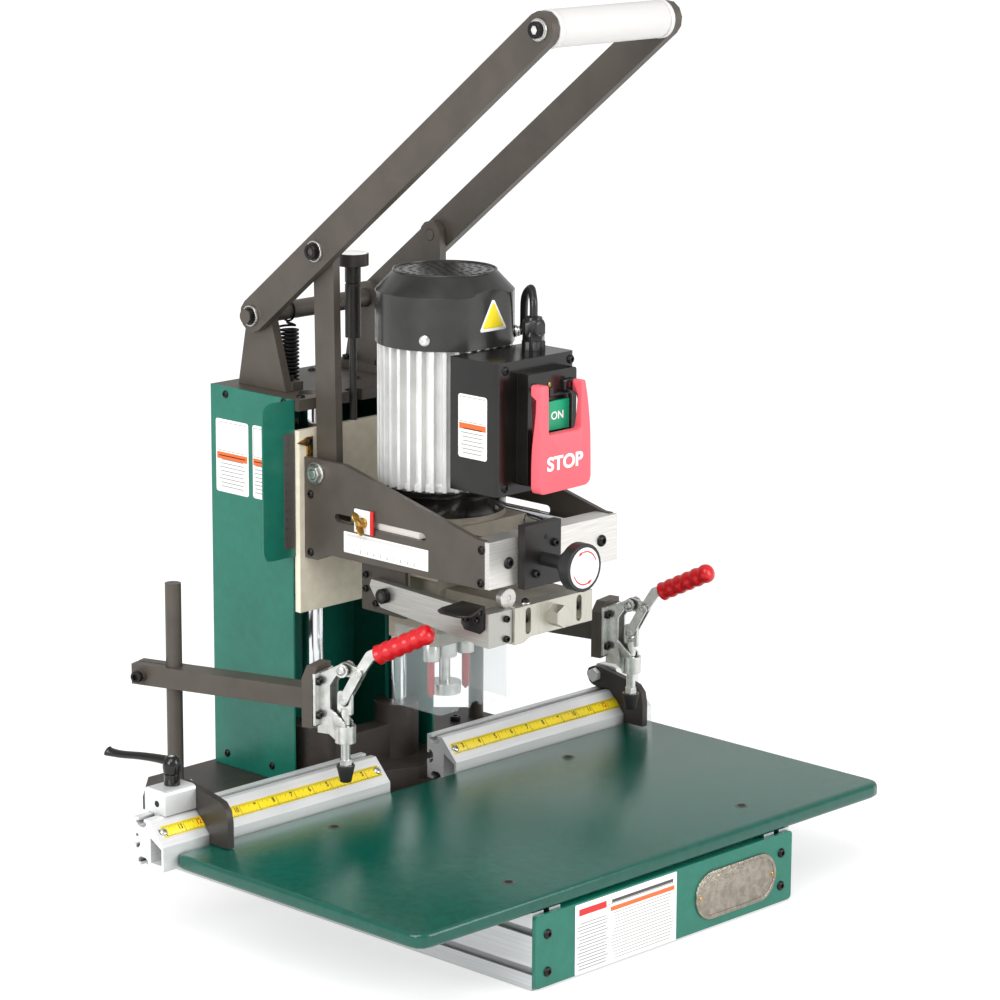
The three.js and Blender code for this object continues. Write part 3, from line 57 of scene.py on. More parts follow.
# Adds one node with its settings, and links its inputs to other nodes' outputs.
def addNode(tree, kind, settings=None, links=None):
    node = tree.nodes.new(kind)
    for key, value in (settings or {}).items():
        if isinstance(key, str) and hasattr(node, key):
            setattr(node, key, value)
        else:
            node.inputs[key].default_value = value
    for key, source in (links or {}).items():
        tree.links.new(source, node.inputs[key])
    return node


# The emptied node tree of a material or a world.
def emptyTree(owner):
    owner.use_nodes = True
    owner.node_tree.nodes.clear()
    return owner.node_tree


# Darkens a colour where the light is kept out by what stands within the given reach.
def shadeCavities(tree, shader, reach, darkest):
    hollow = addNode(tree, "ShaderNodeAmbientOcclusion", {"samples": 8, "Distance": reach * millimetre})
    depth = addNode(tree, "ShaderNodeMapRange", {1: 0.15, 2: 0.6, 3: darkest, 4: 1.0}, {0: hollow.outputs["AO"]})
    source = shader.inputs["Base Color"].links[0].from_socket
    shaded = addNode(tree, "ShaderNodeMix", {"data_type": "RGBA", "blend_type": "MULTIPLY", 0: 1.0},
                     {6: source, 7: depth.outputs[0]})
    tree.links.new(shaded.outputs[2], shader.inputs["Base Color"])


# Gives what lies past a plane across one axis another paint.
def paintBeyond(tree, shader, place, axis, side, limit, colour):
    along = addNode(tree, "ShaderNodeSeparateXYZ", links={0: place})
    past = addNode(tree, "ShaderNodeMath", {"operation": side, 1: limit}, {0: along.outputs[axis]})
    paint = addNode(tree, "ShaderNodeMix", {"data_type": "RGBA", 7: linearColour(colour)},
                    {0: past.outputs[0], 6: shader.inputs["Base Color"].links[0].from_socket})
    tree.links.new(paint.outputs[2], shader.inputs["Base Color"])


# One finish of a family; lengths are millimetres. Each grain is a noise with the width of its cells, its detail and
# its harshness. The first gives the relief on rounded edges, or the stipple does where there is one, and the last
# shifts the colour between two hex values. Stretched grains lie along the machining.
def makeFinish(name, family, roughness, light, dark=None, **own):
    kind = {**family, **own}
    material = bpy.data.materials.new(name)
    tree = emptyTree(material)
    shader = addNode(tree, "ShaderNodeBsdfPrincipled", {"Base Color": linearColour(light), "Roughness": roughness,
                                                        **kind.get("shader", {})})
    addNode(tree, "ShaderNodeOutputMaterial", links={"Surface": shader.outputs["BSDF"]})
    ground = place = addNode(tree, "ShaderNodeTexCoord").outputs["Object"]
    if "stretch" in kind:
        ground = addNode(tree, "ShaderNodeMapping", {"Scale": kind["stretch"]}, {"Vector": place}).outputs["Vector"]
    grains = [addNode(tree, "ShaderNodeTexNoise", {"Scale": 1 / (width * millimetre), "Detail": detail,
                                                   "Roughness": harshness}, {"Vector": ground}).outputs["Fac"]
              for width, detail, harshness in kind["grains"]]
    if dark:
        ramp = addNode(tree, "ShaderNodeValToRGB", links={"Fac": grains[-1]})
        for end, position, colour in zip(ramp.color_ramp.elements, kind.get("spread", (0.35, 0.65)), (dark, light)):
            end.position, end.color = position, linearColour(colour)
        tree.links.new(ramp.outputs["Color"], shader.inputs["Base Color"])
    if "beyond" in kind:
        paintBeyond(tree, shader, place, *kind["beyond"])
    if "cavityShade" in kind:
        shadeCavities(tree, shader, *kind["cavityShade"])
    relief = grains[0]
    if "stipple" in kind:
        relief = addNode(tree, "ShaderNodeTexVoronoi", {"Scale": 1 / (kind["stipple"] * millimetre)},
                         {"Vector": place}).outputs["Distance"]
    rounded = addNode(tree, "ShaderNodeBevel", {"samples": 4, "Radius": kind["edge"] * millimetre})
    bump = addNode(tree, "ShaderNodeBump", {"Strength": 1.0, "Distance": kind["depth"] * millimetre},
                   {"Height": relief, "Normal": rounded.outputs["Normal"]})
    tree.links.new(bump.outputs["Normal"], shader.inputs["Normal"])
    return material


# Hammer-tone enamel sprayed on steel: glossy, with shallow cells about 1.5 mm across over slow waves. On the carriage
# what stands above the plate is left as dark oiled steel.
enamel = {"shader": {"IOR": 1.5}, "grains": [(1.5385, 2, 0.5), (11.111, 2, 0.5)], "depth": 0.22, "edge": 1.2}
plateTop = 0.4845 - nodes["carriage_plate"].matrix_world.translation.z
greenEnamel = makeFinish("greenHammerEnamel", enamel, 0.28, "#0f6e5c", "#0b6856")
tableEnamel = makeFinish("greenTableEnamel", enamel, 0.15, "#065143", "#044b3e")
creamEnamel = makeFinish("creamHammerEnamel", enamel, 0.4, "#f3ead7", "#ebe1cb",
                         beyond=("Z", "GREATER_THAN", plateTop, "#3a3734"))

# Powder coat on flat steel bar: satin, with an orange peel finer than a millimetre. The blacks are glossier.
powder = {"shader": {"IOR": 1.48}, "grains": [(0.90909, 1, 0.5), (33.333, 3, 0.5)], "depth": 0.08, "edge": 0.6}
darkCoat = makeFinish("warmGreyPowderCoat", powder, 0.42, "#4e4740", "#464039")
blackCoat = makeFinish("glossBlackPaint", powder, 0.16, "#181715", "#11100f")
coverCoat = makeFinish("glossBlackCoverPaint", powder, 0.18, "#31312f", "#292928")
screwCoat = makeFinish("blackScrewPlatePaint", powder, 0.35, "#211e1c", "#1a1817")
stopCoat = makeFinish("blackStopPaint", powder, 0.4, "#332e2b", "#2b2725")

# Steel blackened in hot oxide or oil: nearly black, a little metallic.
blackOxide = makeFinish("blackOxideSteel", powder, 0.3, "#252322", "#1b1a1a", shader={"IOR": 1.48, "Metallic": 0.55})
springSteel = makeFinish("blackOiledSpring", powder, 0.28, "#1e1c1b", "#141312", shader={"IOR": 1.48, "Metallic": 0.6})

# Aluminium drawn through a die, then anodised: matt silver with faint lines along the draw; its slots and chambers are
# darkened with painted shade.
drawn = {"grains": [(2.0, 3, 0.5)], "depth": 0.012, "edge": 0.5, "spread": (0.3, 0.7), "cavityShade": (14, 0.16)}
railAluminium = makeFinish("anodisedRail", drawn, 0.38, "#d9dadb", "#c9cbcc",
                           shader={"Metallic": 0.75}, stretch=(1, 0.02, 1))
fenceAluminium = makeFinish("anodisedFence", drawn, 0.4, "#e9eaea", "#e0e1e1",
                            shader={"Metallic": 0.45}, stretch=(0.02, 1, 1))
blockAluminium = makeFinish("brightStopBlock", drawn, 0.36, "#e4e5e5", "#dcdddd", shader={"Metallic": 0.5})

# Mild steel milled flat and nickel plated: pale and warm, with fine cutter lines.
milled = {"shader": {"Metallic": 0.85}, "grains": [(1.1111, 2, 0.5)], "depth": 0.03,"edge": 0.8, "spread": (0.3, 0.7)}
milledBar = makeFinish("milledNickelBar", milled, 0.36, "#e4e2dd", "#cfcdc8", stretch=(0.03, 1, 1))
milledArm = makeFinish("milledNickelArm", milled, 0.36, "#b9b8b3", "#a9a8a3", stretch=(1, 0.03, 1))
pressNickel = makeFinish("milledPressBlock", milled, 0.36, "#c9c6bc", "#bcb9ae", stretch=(1, 1, 0.05))

# Ground steel with hard chromium: a mirror with hardly a grain to see.
mirror = {"shader": {"Metallic": 1.0}, "grains": [(16.667, 1, 0.5)], "depth": 0.01, "edge": 0.6}
chromeRod = makeFinish("hardChromeRod", mirror, 0.08, "#e3e5e7")

# Bright zinc on pressed steel: silvery with soft blotches about a centimetre wide, and painted shade darkening its
# recesses.
plated = {"shader": {"Metallic": 0.95}, "grains": [(8.3333, 4, 0.5)], "depth": 0.12, "edge": 0.7, "cavityShade": (10, 0.3)}
zinc = makeFinish("brightZinc", plated, 0.3, "#dcddd9", "#c6c7c3")

# Turned brass, slightly dulled.
turnedMetal = {"shader": {"Metallic": 1.0}, "grains": [(5.0, 3, 0.5)], "depth": 0.08, "edge": 0.4}
brass = makeFinish("turnedBrass", turnedMetal, 0.28, "#d8b163", "#9c7a39")

# Pewter badge blank, stippled by its mould: dots 2.6 mm apart over stains of 7 mm.
stippled = {"shader": {"Metallic": 0.9}, "stipple": 2.6316, "grains": [(6.6667, 4, 0.5)], "depth": 0.4, "edge": 0.5}
pewter = makeFinish("stippledPewter", stippled, 0.34, "#a49c8f", "#8a8378")

# Sand-cast metal, painted or bare: a grit of about two millimetres. The motor mount's bolted-on hanger is dark.
cast = {"grains": [(2.38095, 5, 0.6), (40.0, 4, 0.5)], "depth": 0.5, "edge": 1.2}
hangerFace = -0.0781 - nodes["motor_mount"].matrix_world.translation.x
castIron = makeFinish("paintedCastIron", cast, 0.45, "#3f3833", "#332d29", shader={"Metallic": 0.1})
castHead = makeFinish("silverPaintedCasting", cast, 0.42, "#a79f91", "#8f877a", shader={"Metallic": 0.3},
                      beyond=("X", "LESS_THAN", hangerFace, "#413b35"))
castMotor = makeFinish("silverDieCasting", cast, 0.38, "#ececea", "#dcdcda", shader={"Metallic": 0.4})

# Moulded plastics: even colour, a slight grain, gloss from the mould. The dipped vinyl and the rubber are rougher.
plastic = {"shader": {"IOR": 1.5}, "grains": [(1.1111, 2, 0.5)], "depth": 0.04,"edge": 0.8}
blackAbs = makeFinish("blackAbs", plastic, 0.3, "#18191a")
knobPhenolic = makeFinish("blackPhenolic", plastic, 0.38, "#1a1b1c")
lampRed = makeFinish("darkLampLens", plastic, 0.2, "#7c1024")
stopAbs = makeFinish("stopPaddleAbs", plastic, 0.4, "#ee5f6b")
greenAbs = makeFinish("greenAbs", plastic, 0.35, "#0aa174")
whiteNylon = makeFinish("whiteNylonGrip", plastic, 0.34, "#d3d1cf")
# painted light: the carrier is paler than the casting behind the slot, so that the slot shows light
paintedLightNylon = makeFinish("paintedLightNylonCarrier", plastic, 0.4, "#f4efe6")
redVinyl = makeFinish("redDippedVinyl", plastic, 0.28, "#c90f1b", grains=[(3.84615, 2, 0.5)], depth=0.2)
blackRubber = makeFinish("blackRubber", plastic, 0.65, "#1b1b1c", depth=0.1)
cableSheath = makeFinish("blackCableSheath", plastic, 0.3, "#141516")
redBit = makeFinish("redLacqueredShank", plastic, 0.3, "#c93a3c")
# painted shade: a near-black finish for flats put in screw sockets and bores where there is only shade
socketShadow = makeFinish("socketShadow", plastic, 0.6, "#0b0b0b")

# Bent clear sheet: only its gloss, a faint cool tint and its edges show.
sheet = {"shader": {"IOR": 1.5, "Alpha": 0.14}, "grains": [(25.0, 1, 0.5)], "depth": 0.1, "edge": 0.4}
polycarbonate = makeFinish("clearPolycarbonate", sheet, 0.05, "#dfe9ec")

# Printing inks and label stocks: flat films, hardly any relief.
film = {"grains": [(1.42857, 1, 0.5)], "depth": 0.01, "edge": 0.2}
tapeLacquer = makeFinish("yellowTapeLacquer", film, 0.3, "#f3d823")
blackInk = makeFinish("blackInk", film, 0.45, "#161514")
redInk = makeFinish("redInk", film, 0.45, "#cf2222")
whiteInk = makeFinish("whiteInk", film, 0.45, "#f6f6f4")
greyInk = makeFinish("greyInk", film, 0.45, "#8b8b89")
orangeInk = makeFinish("orangeInk", film, 0.45, "#e2682c")
whiteVinyl = makeFinish("whiteLabelVinyl", film, 0.35, "#f3f3f1")
yellowVinyl = makeFinish("yellowLabelVinyl", film, 0.35, "#f0d816")
etchedSteel = makeFinish("etchedDarkSteel", film, 0.35, "#4a4744")
print("materials made:", len(bpy.data.materials))


# Puts points and faces, in millimetres, into a new object that rides on a body.
def addPiece(name, points, faces, material, body, smooth=True):
    mesh = bpy.data.meshes.new(name)
    mesh.from_pydata((np.asarray(points, dtype=float) * millimetre).tolist(), [], faces)
    mesh.materials.append(material)
    mesh.validate()
    piece = bpy.data.objects.new(name, mesh)
    bpy.context.scene.collection.objects.link(piece)
    mesh.shade_smooth() if smooth else mesh.shade_flat()
    if smooth:
        mesh.set_sharp_from_angle(angle=math.radians(38))
    if body:
        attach(piece, body)
    return piece


# Quads of a rows x columns grid, its rows joined round where asked.
def gridFaces(rows, columns, closed=False):
    r, c = np.meshgrid(np.arange(rows - 1), np.arange(columns if closed else columns - 1), indexing="ij")
    after = (c + 1) % columns
    quads = np.stack([r * columns + c, r * columns + after, (r + 1) * columns + after, (r + 1) * columns + c], -1)
    return quads.reshape(-1, 4).tolist()


# The faces of a form made of rings, with both ends closed.
def ringFaces(rings, segments):
    last = (rings - 1) * segments
    return gridFaces(rings, segments, True) + [list(range(segments))[::-1], [last + i for i in range(segments)]]


# The frame of a plane: its two directions, their cross product and its origin, as a 4 x 4 array.
def planeFrame(centre, rightward, upward):
    u, v = (np.array(a, dtype=float) / np.linalg.norm(a) for a in (rightward, upward))
    matrix = np.eye(4)
    matrix[:3] = np.stack([u, v, np.cross(u, v), centre], -1)
    return matrix


# A frame whose third axis is the given direction: v = up less its share along w, u = v x w.
def frameAlong(centre, direction, upward=(0.0, 0.0, 1.0)):
    w = np.array(direction, dtype=float) / np.linalg.norm(direction)
    v = np.array(upward, dtype=float) - np.dot(upward, w) * w
    if np.linalg.norm(v) < 1e-6:
        v = np.array([0.0, 1.0, 0.0]) - w[1] * w
    return planeFrame(centre, np.cross(v, w), v)


def moved(points, matrix):
    return np.asarray(points) @ matrix[:3, :3].T + matrix[:3, 3]


def placed(form, matrix):
    return moved(form[0], matrix), form[1]


# Points of an arc about a plane's origin, between two angles in degrees: r * (cos, sin).
def arcPath(plane, radius, steps, start=0, end=360):
    angle = np.radians(np.linspace(start, end, steps + 1))
    return moved(np.stack([radius * np.cos(angle), radius * np.sin(angle), 0 * angle], -1), plane)


# A turned form: rings of (radius, height, hex share); r = radius * (1 - hex + hex * hexagon(angle)).
def turnedForm(rings, segments):
    rings = np.asarray([(*ring, 0.0)[:3] for ring in rings], dtype=float)
    angle = np.arange(segments) / segments * 2 * math.pi
    hexagon = math.cos(math.pi / 6) / np.cos((angle % (math.pi / 3)) - math.pi / 6)
    radius = rings[:, :1] * (1 - rings[:, 2:3] + rings[:, 2:3] * hexagon)
    points = np.stack([radius * np.cos(angle), radius * np.sin(angle), np.repeat(rings[:, 1:2], segments, 1)], -1)
    return points.reshape(-1, 3), ringFaces(len(rings), segments)


# Joins several (points, faces) into one.
def together(forms):
    points, faces, start = [], [], 0
    for formPoints, formFaces in forms:
        points.append(formPoints)
        faces += [[start + i for i in face] for face in formFaces]
        start += len(formPoints)
    return np.concatenate(points), faces


# Closed outline of a rounded rectangle: four quarter circles joined by straight sides.
def roundedOutline(width, height, corner, steps=6):
    quarter = np.linspace(0, math.pi / 2, steps)
    path = [np.stack([sx * (width / 2 - corner) + corner * np.cos(quarter + turn * math.pi / 2),
                      sy * (height / 2 - corner) + corner * np.sin(quarter + turn * math.pi / 2)], -1)
            for sx, sy, turn in [(1, 1, 0), (-1, 1, 1), (-1, -1, 2), (1, -1, 3)]]
    return np.concatenate(path)


# A plate over a convex outline: walls up, a small rounded shoulder, a flat top. Inset moves points to the middle.
def plateForm(outline, thickness, shoulder):
    outline = np.asarray(outline, dtype=float)
    toMiddle = outline.mean(0) - outline
    inward = toMiddle / np.linalg.norm(toMiddle, axis=1, keepdims=True)
    levels = [(0.0, 0.0), (0.0, thickness - shoulder), (0.3 * shoulder, thickness - 0.3 * shoulder),
              (shoulder, thickness)]
    points = [np.concatenate([outline + inward * inset, np.full((len(outline), 1), height)], 1)
              for inset, height in levels]
    return np.concatenate(points), ringFaces(len(levels), len(outline))


# A tube along a path: rings of r * (cos, sin) in a frame carried from point to point without twist.
def tubeForm(path, radius, sides):
    path = np.asarray(path, dtype=float)
    tangent = np.gradient(path, axis=0)
    tangent /= np.linalg.norm(tangent, axis=1, keepdims=True)
    across = np.zeros_like(path)
    start = np.array([1.0, 0.0, 0.0]) if abs(tangent[0][0]) < 0.9 else np.array([0.0, 1.0, 0.0])
    for i, along in enumerate(tangent):
        start = start - np.dot(start, along) * along
        start /= np.linalg.norm(start)
        across[i] = start
    side = np.cross(tangent, across)
    angle = np.arange(sides) / sides * 2 * math.pi
    radius = np.broadcast_to(np.asarray(radius, dtype=float).reshape(-1, 1, 1), (len(path), 1, 1))
    rings = path[:, None] + radius * (across[:, None] * np.cos(angle)[:, None] + side[:, None] * np.sin(angle)[:, None])
    return rings.reshape(-1, 3), ringFaces(len(path), sides)


# Smooth curve through points: Catmull-Rom, each span in equal steps.
def smoothPath(points, steps=8):
    points = np.asarray(points, dtype=float)
    padded = np.concatenate([2 * points[:1] - points[1:2], points, 2 * points[-1:] - points[-2:-1]])
    t = np.linspace(0, 1, steps, endpoint=False)[:, None]
    spans = [0.5 * ((2 * b) + (c - a) * t + (2 * a - 5 * b + 4 * c - d) * t ** 2 + (3 * b - a - 3 * c + d) * t ** 3)
             for a, b, c, d in zip(padded[:-3], padded[1:-2], padded[2:-1], padded[3:])]
    return np.concatenate(spans + [points[-1:]])


# A closed outline raised above a plane, as a path.
def raisedPath(outline, height, plane):
    outline = np.concatenate([outline, outline[:1]])
    return moved(np.concatenate([outline, np.full((len(outline), 1), height)], 1), plane)


# The model's own nodes are shaded smooth by angle, then get their finishes.
def smoothGroup():
    group = bpy.data.node_groups.new("smoothByAngle", "GeometryNodeTree")
    group.interface.new_socket("Geometry", in_out="INPUT", socket_type="NodeSocketGeometry")
    group.interface.new_socket("Geometry", in_out="OUTPUT", socket_type="NodeSocketGeometry")
    entry = addNode(group, "NodeGroupInput")
    weld = addNode(group, "GeometryNodeMergeByDistance", {"Distance": 0.000002}, {"Geometry": entry.outputs[0]})
    faces = addNode(group, "GeometryNodeSetShadeSmooth", {"domain": "FACE"}, {"Geometry": weld.outputs[0]})
    angle = addNode(group, "GeometryNodeInputMeshEdgeAngle")
    sharp = addNode(group, "FunctionNodeCompare",
                    {"data_type": "FLOAT", "operation": "GREATER_THAN", 1: math.radians(38)},
                    {0: angle.outputs["Unsigned Angle"]})
    edges = addNode(group, "GeometryNodeSetShadeSmooth", {"domain": "EDGE", "Shade Smooth": False},
                    {"Geometry": faces.outputs[0], "Selection": sharp.outputs[0]})
    addNode(group, "NodeGroupOutput", links={0: edges.outputs[0]})
    return group


smoothing = smoothGroup()


# Dresses the nodes with these names, with or without a side after the name.
def dress(material, *names):
    for name, part in nodes.items():
        if name.removesuffix("_left").removesuffix("_right") in names:
            for place in part.material_slots:
                place.material = material
            part.modifiers.new("smooth", "NODES").node_group = smoothing


dress(railAluminium, "base_rail")
dress(fenceAluminium, "fence")
dress(blockAluminium, "stop_block")
dress(greenEnamel, "front_panel", "column_cover")
dress(tableEnamel, "work_table")
dress(creamEnamel, "carriage_plate")
dress(castIron, "base_casting")
dress(castHead, "motor_mount")
dress(castMotor, "motor_body")
dress(darkCoat, "top_plate", "pivot_ear", "pivot_shaft", "clamp_post", "lever_arm", "link", "side_plate", "clamp_arm")
dress(stopCoat, "stop_plate", "depth_stop_sleeve", "stop_lever")
dress(chromeRod, "guide_rod", "slide_rod")
dress(milledBar, "cross_bar")
dress(milledArm, "swing_frame")
dress(pressNickel, "press_block")
dress(screwCoat, "screw_plate")
dress(knobPhenolic, "setback_knob")
dress(blackCoat, "switch_box")
dress(coverCoat, "fan_cover")
dress(whiteNylon, "lever_grip")
dress(stopAbs, "stop_paddle")
dress(greenAbs, "on_button")
dress(polycarbonate, "drill_guard")
dress(zinc, "rotor", "clamp_body", "clamp_link", "clamp_plunger", "clamp_handle")
dress(redBit, "side_bit")
dress(springSteel, "return_spring")
dress(cableSheath, "motor_lead")
print("model dressed")


# Head profiles in head radii: (radius, height, hex share), from the seat outwards.
headProfiles = {
    "cap": [(1, 0), (1, 0.8), (0.9, 0.95), (0.6, 0.95), (0.56, 0.95, 1), (0.54, 0.4, 1)],
    "button": [(1, 0), (0.96, 0.24), (0.78, 0.44), (0.52, 0.55), (0.48, 0.55, 1), (0.46, 0.2, 1)],
    "flush": [(1, 0), (1, 0.03), (0.62, 0.05)],
    "socket": [(0.55, 0, 1), (0.55, 0.07, 1)],
    "ring": [(1, 0), (1, 0.2), (0.96, 0.26), (0.88, 0.26), (0.84, 0.14)],
    "studCap": [(1.14, 0), (1.14, 0.24), (1, 0.26), (1, 0.9), (0.92, 1), (0.64, 1), (0.58, 1, 1), (0.54, 0.5, 1)],
    "studNut": [(1.1, 0), (1.1, 0.24), (1, 0.26, 1), (1, 0.8, 1), (0.92, 0.9, 0.5), (0.6, 0.9), (0.55, 0.75),
                (0.5, 0.95)],
    "lowRivet": [(1, 0), (0.94, 0.08), (0.6, 0.12), (0.42, 0.12), (0.38, 0.04)],
    "rivet": [(1, 0), (1, 0.2), (0.8, 0.38), (0.45, 0.42), (0.4, 0.25)],
}


# One mesh of many heads; each row is a profile, a direction, a radius and the places.
def fasteners(name, body, material, rows):
    forms = []
    for profile, direction, radius, places in rows:
        points, faces = turnedForm(headProfiles[profile], 18)
        forms += [(moved(points * radius, frameAlong(place, direction)), faces) for place in places]
    return addPiece(name, *together(forms), material, body)


# Rows for the same heads on both sides, at -x and +x; the places are (y, z).
def bothSides(profile, radius, x, places):
    return [(profile, (side, 0, 0), radius, [(side * x, y, z) for y, z in places]) for side in (-1, 1)]


left, right, front, up, back = (-1, 0, 0), (1, 0, 0), (0, -1, 0), (0, 0, 1), (0, 1, 0)
motor = {"y": -139.0, "coverRadius": 72.7, "rivetHeight": 594.6, "rivetAngles": (-151.6, -31.6, 88.4),
         "lipRadius": 53.6, "lipHeight": 658.2}
rivetWays = [(math.cos(angle), math.sin(angle), 0) for angle in np.radians(motor["rivetAngles"])]
screws = {
    "tableScrews": ("base", etchedSteel, [
        ("flush", up, 7.0, [(x, y, 96) for x in (-177, 177) for y in (-155, -406)])]),
    # painted shade: dark hexagons on the table screws stand for the shade in their sockets
    "tableSocketShades": ("base", socketShadow, [
        ("socket", up, 8.0, [(x, y, 96.25) for x in (-177, 177) for y in (-155, -406)])]),
    "panelScrews": ("base", blackOxide, [
        ("button", front, 5.2, [(x, -460.3, z) for x, z in [(-178, 56), (-178, 17), (178, 56), (178, 20)]])]),
    "coverScrews": ("base", blackOxide, [
        *bothSides("button", 4.2, 105, [(88, 508.5), (-4, 513), (92, 108), (19.5, 109)]),
        ("button", back, 4.2, [(x, 112, z) for x in (-92, 92) for z in (110, 300, 500)]),
        ("button", up, 5.0, [(x, y, 517) for x in (-25, 25) for y in (22, 92)] + [(-88, -12, 517), (88, -12, 517)]),
        ("cap", up, 5.0, [(x, y, 526.3) for x in (-66, 66) for y in (30, 80)]),
        ("cap", up, 6.0, [(x, y, 94) for x in (-196, 196) for y in (-30, 40)])]),
    "carriageScrews": ("carriage", blackOxide, [
        *bothSides("button", 4.6, 95.6, [(-34.6, 417), (-34, 354), (-287, 399), (-286, 364.5)]),
        ("button", front, 6.4, [(-67.6, -297.8, 382.9), (71.3, -297.8, 383)]),
        ("cap", front, 4.2, [(-10.7, -308.1, 396.9), (-38.2, -308.1, 368.3)]),
        ("flush", front, 3.0, [(-23.4, -308.1, 404.8)])]),
    "linkWashers": ("carriage", zinc, bothSides("ring", 12.0, 95.7, [(-44, 441)])),
    "linkNuts": ("carriage", zinc, bothSides("studNut", 9.4, 95.7, [(-46.2, 441)])),
    "boxScrews": ("head", blackOxide, [
        ("button", front, 4.8, [(51.6, -270, 573.4), (51.6, -270, 452.2), (-44.6, -270, 573.4), (-44.7, -270, 452.2)]),
    ]),
    "hangerScrews": ("head", blackOxide, [
        ("cap", left, 3.6, [(-82.8, -105.9, 340.3), (-82.8, -105.8, 325.2), (-82.8, -120.9, 311.7)])]),
    "coverRivets": ("head", zinc, [
        ("rivet", way, 5.8, [(motor["coverRadius"] * way[0], motor["y"] + motor["coverRadius"] * way[1],
                              motor["rivetHeight"])]) for way in rivetWays]),
    "swingBolt": ("head", blackOxide, [("cap", left, 8.0, [(-93.3, -145, 326)])]),
    "swingScrews": ("swing", blackOxide, [
        ("cap", front, 3.6, [(-68, -295, 324), (-68, -295, 303), (-38, -291.5, 317), (38, -291.5, 317)])]),
    "swingStudWasher": ("swing", zinc, [("ring", up, 5.6, [(-34.5, -290, 333.6)])]),
    "swingStud": ("swing", blackOxide, [("cap", up, 3.8, [(-34.5, -290, 334.2)]),
                                        ("rivet", up, 2.4, [(-34.5, -290, 338)])]),
    "depthPointerScrew": ("carriage", blackOxide, [("button", front, 3.6, [(-89, -26.8, 471.5)])]),
    "badgeRivets": ("base", brass, [("rivet", front, 2.4, [(48, -462.6, 37.2), (162, -462.6, 37.2)])]),
    "switchScrew": ("head", brass, [("rivet", front, 2.6, [(4.5, -285.0, 555.4)])]),
    "fingerTabScrews": ("swing", blackAbs, [
        ("cap", left, 3.2, [(-95.7, -265, 324), (-95.7, -281, 325), (-95.7, -284, 333)])]),
    "stopHandleScrew": ("stop_lever", zinc, [("rivet", up, 3.6, [(-325, -72, 185.2)])]),
    # painted shade: a dark disc on the stop block stands for the shade in its bore
    "stopBlockBoreShade": ("stop_block_left", socketShadow, [("flush", left, 3.4, [(-348.05, -74.9, 141)])]),
}
for body, x, y, z in [("base", 94.1, 57.8, 596), ("lever", 93.85, -42.3, 676), ("lever", 93.85, -361, 926)]:
    screws["leverWashers" + body + str(z)] = (body, zinc, bothSides("ring", 11.4, x, [(y, z)]))
    screws["leverCaps" + body + str(z)] = (body, blackOxide, bothSides("studCap", 8.4, x, [(y, z)]))
for name, (body, material, rows) in screws.items():
    fasteners(name, body, material, rows)
print("fasteners placed")


# The return spring: hook, coil and straight tail, finer than the model's.
spring = {"x": -42.0, "y": 57.8, "radius": 11.4, "wire": 1.35, "turns": 17, "top": 578.0, "bottom": 508.0,
          "hook": 585.0, "anchor": 477.2, "shaftZ": 596.0, "ringRadius": 11.6, "ringWire": 1.2}
springX, springY = spring["x"], spring["y"]
turn = np.linspace(0, spring["turns"] * 2 * math.pi, spring["turns"] * 20)
coil = np.stack([springX + spring["radius"] * np.cos(turn), springY + spring["radius"] * np.sin(turn),
                 np.linspace(spring["top"], spring["bottom"], len(turn))], -1)
hookIn = smoothPath([(springX, springY, spring["hook"]), (springX, springY, spring["hook"] - 2.5),
                     (springX + 6, springY - 0.5, spring["top"] + 2.4), coil[0]], 5)[:-1]
hookOut = smoothPath([coil[-1], (springX + 6, springY + 0.5, spring["bottom"] - 5),
                      (springX, springY, spring["bottom"] - 12), (springX, springY, spring["anchor"])], 5)[1:]
springPiece = addPiece("returnSpringCoil", *tubeForm(np.concatenate([hookIn, coil, hookOut]), spring["wire"], 8),
                       springSteel, None)
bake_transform(springPiece)
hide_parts("return_spring")
# a ring round the shaft that the hook hangs from
ringPath = arcPath(planeFrame((springX, springY, spring["shaftZ"]), up, back), spring["ringRadius"], 24)
addPiece("springRing", *tubeForm(ringPath, spring["ringWire"], 8), springSteel, "base")

# The motor lead: from the gland over and into the side of the fan cover.
lead = {"radius": 4.2, "entry": math.radians(-46),
        "points": [(31, -237, 616.5), (31, -237, 628.3), (33, -234, 636.3), (39, -225, 643.3), (48, -208, 630.3),
                   (56.9, -198.0, 599), (54.9, -195.8, 593), (51.3, -192.2, 593)]}
leadPiece = addPiece("motorLeadSheath", *tubeForm(smoothPath(lead["points"]), lead["radius"], 14), cableSheath, "head")
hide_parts("motor_lead")

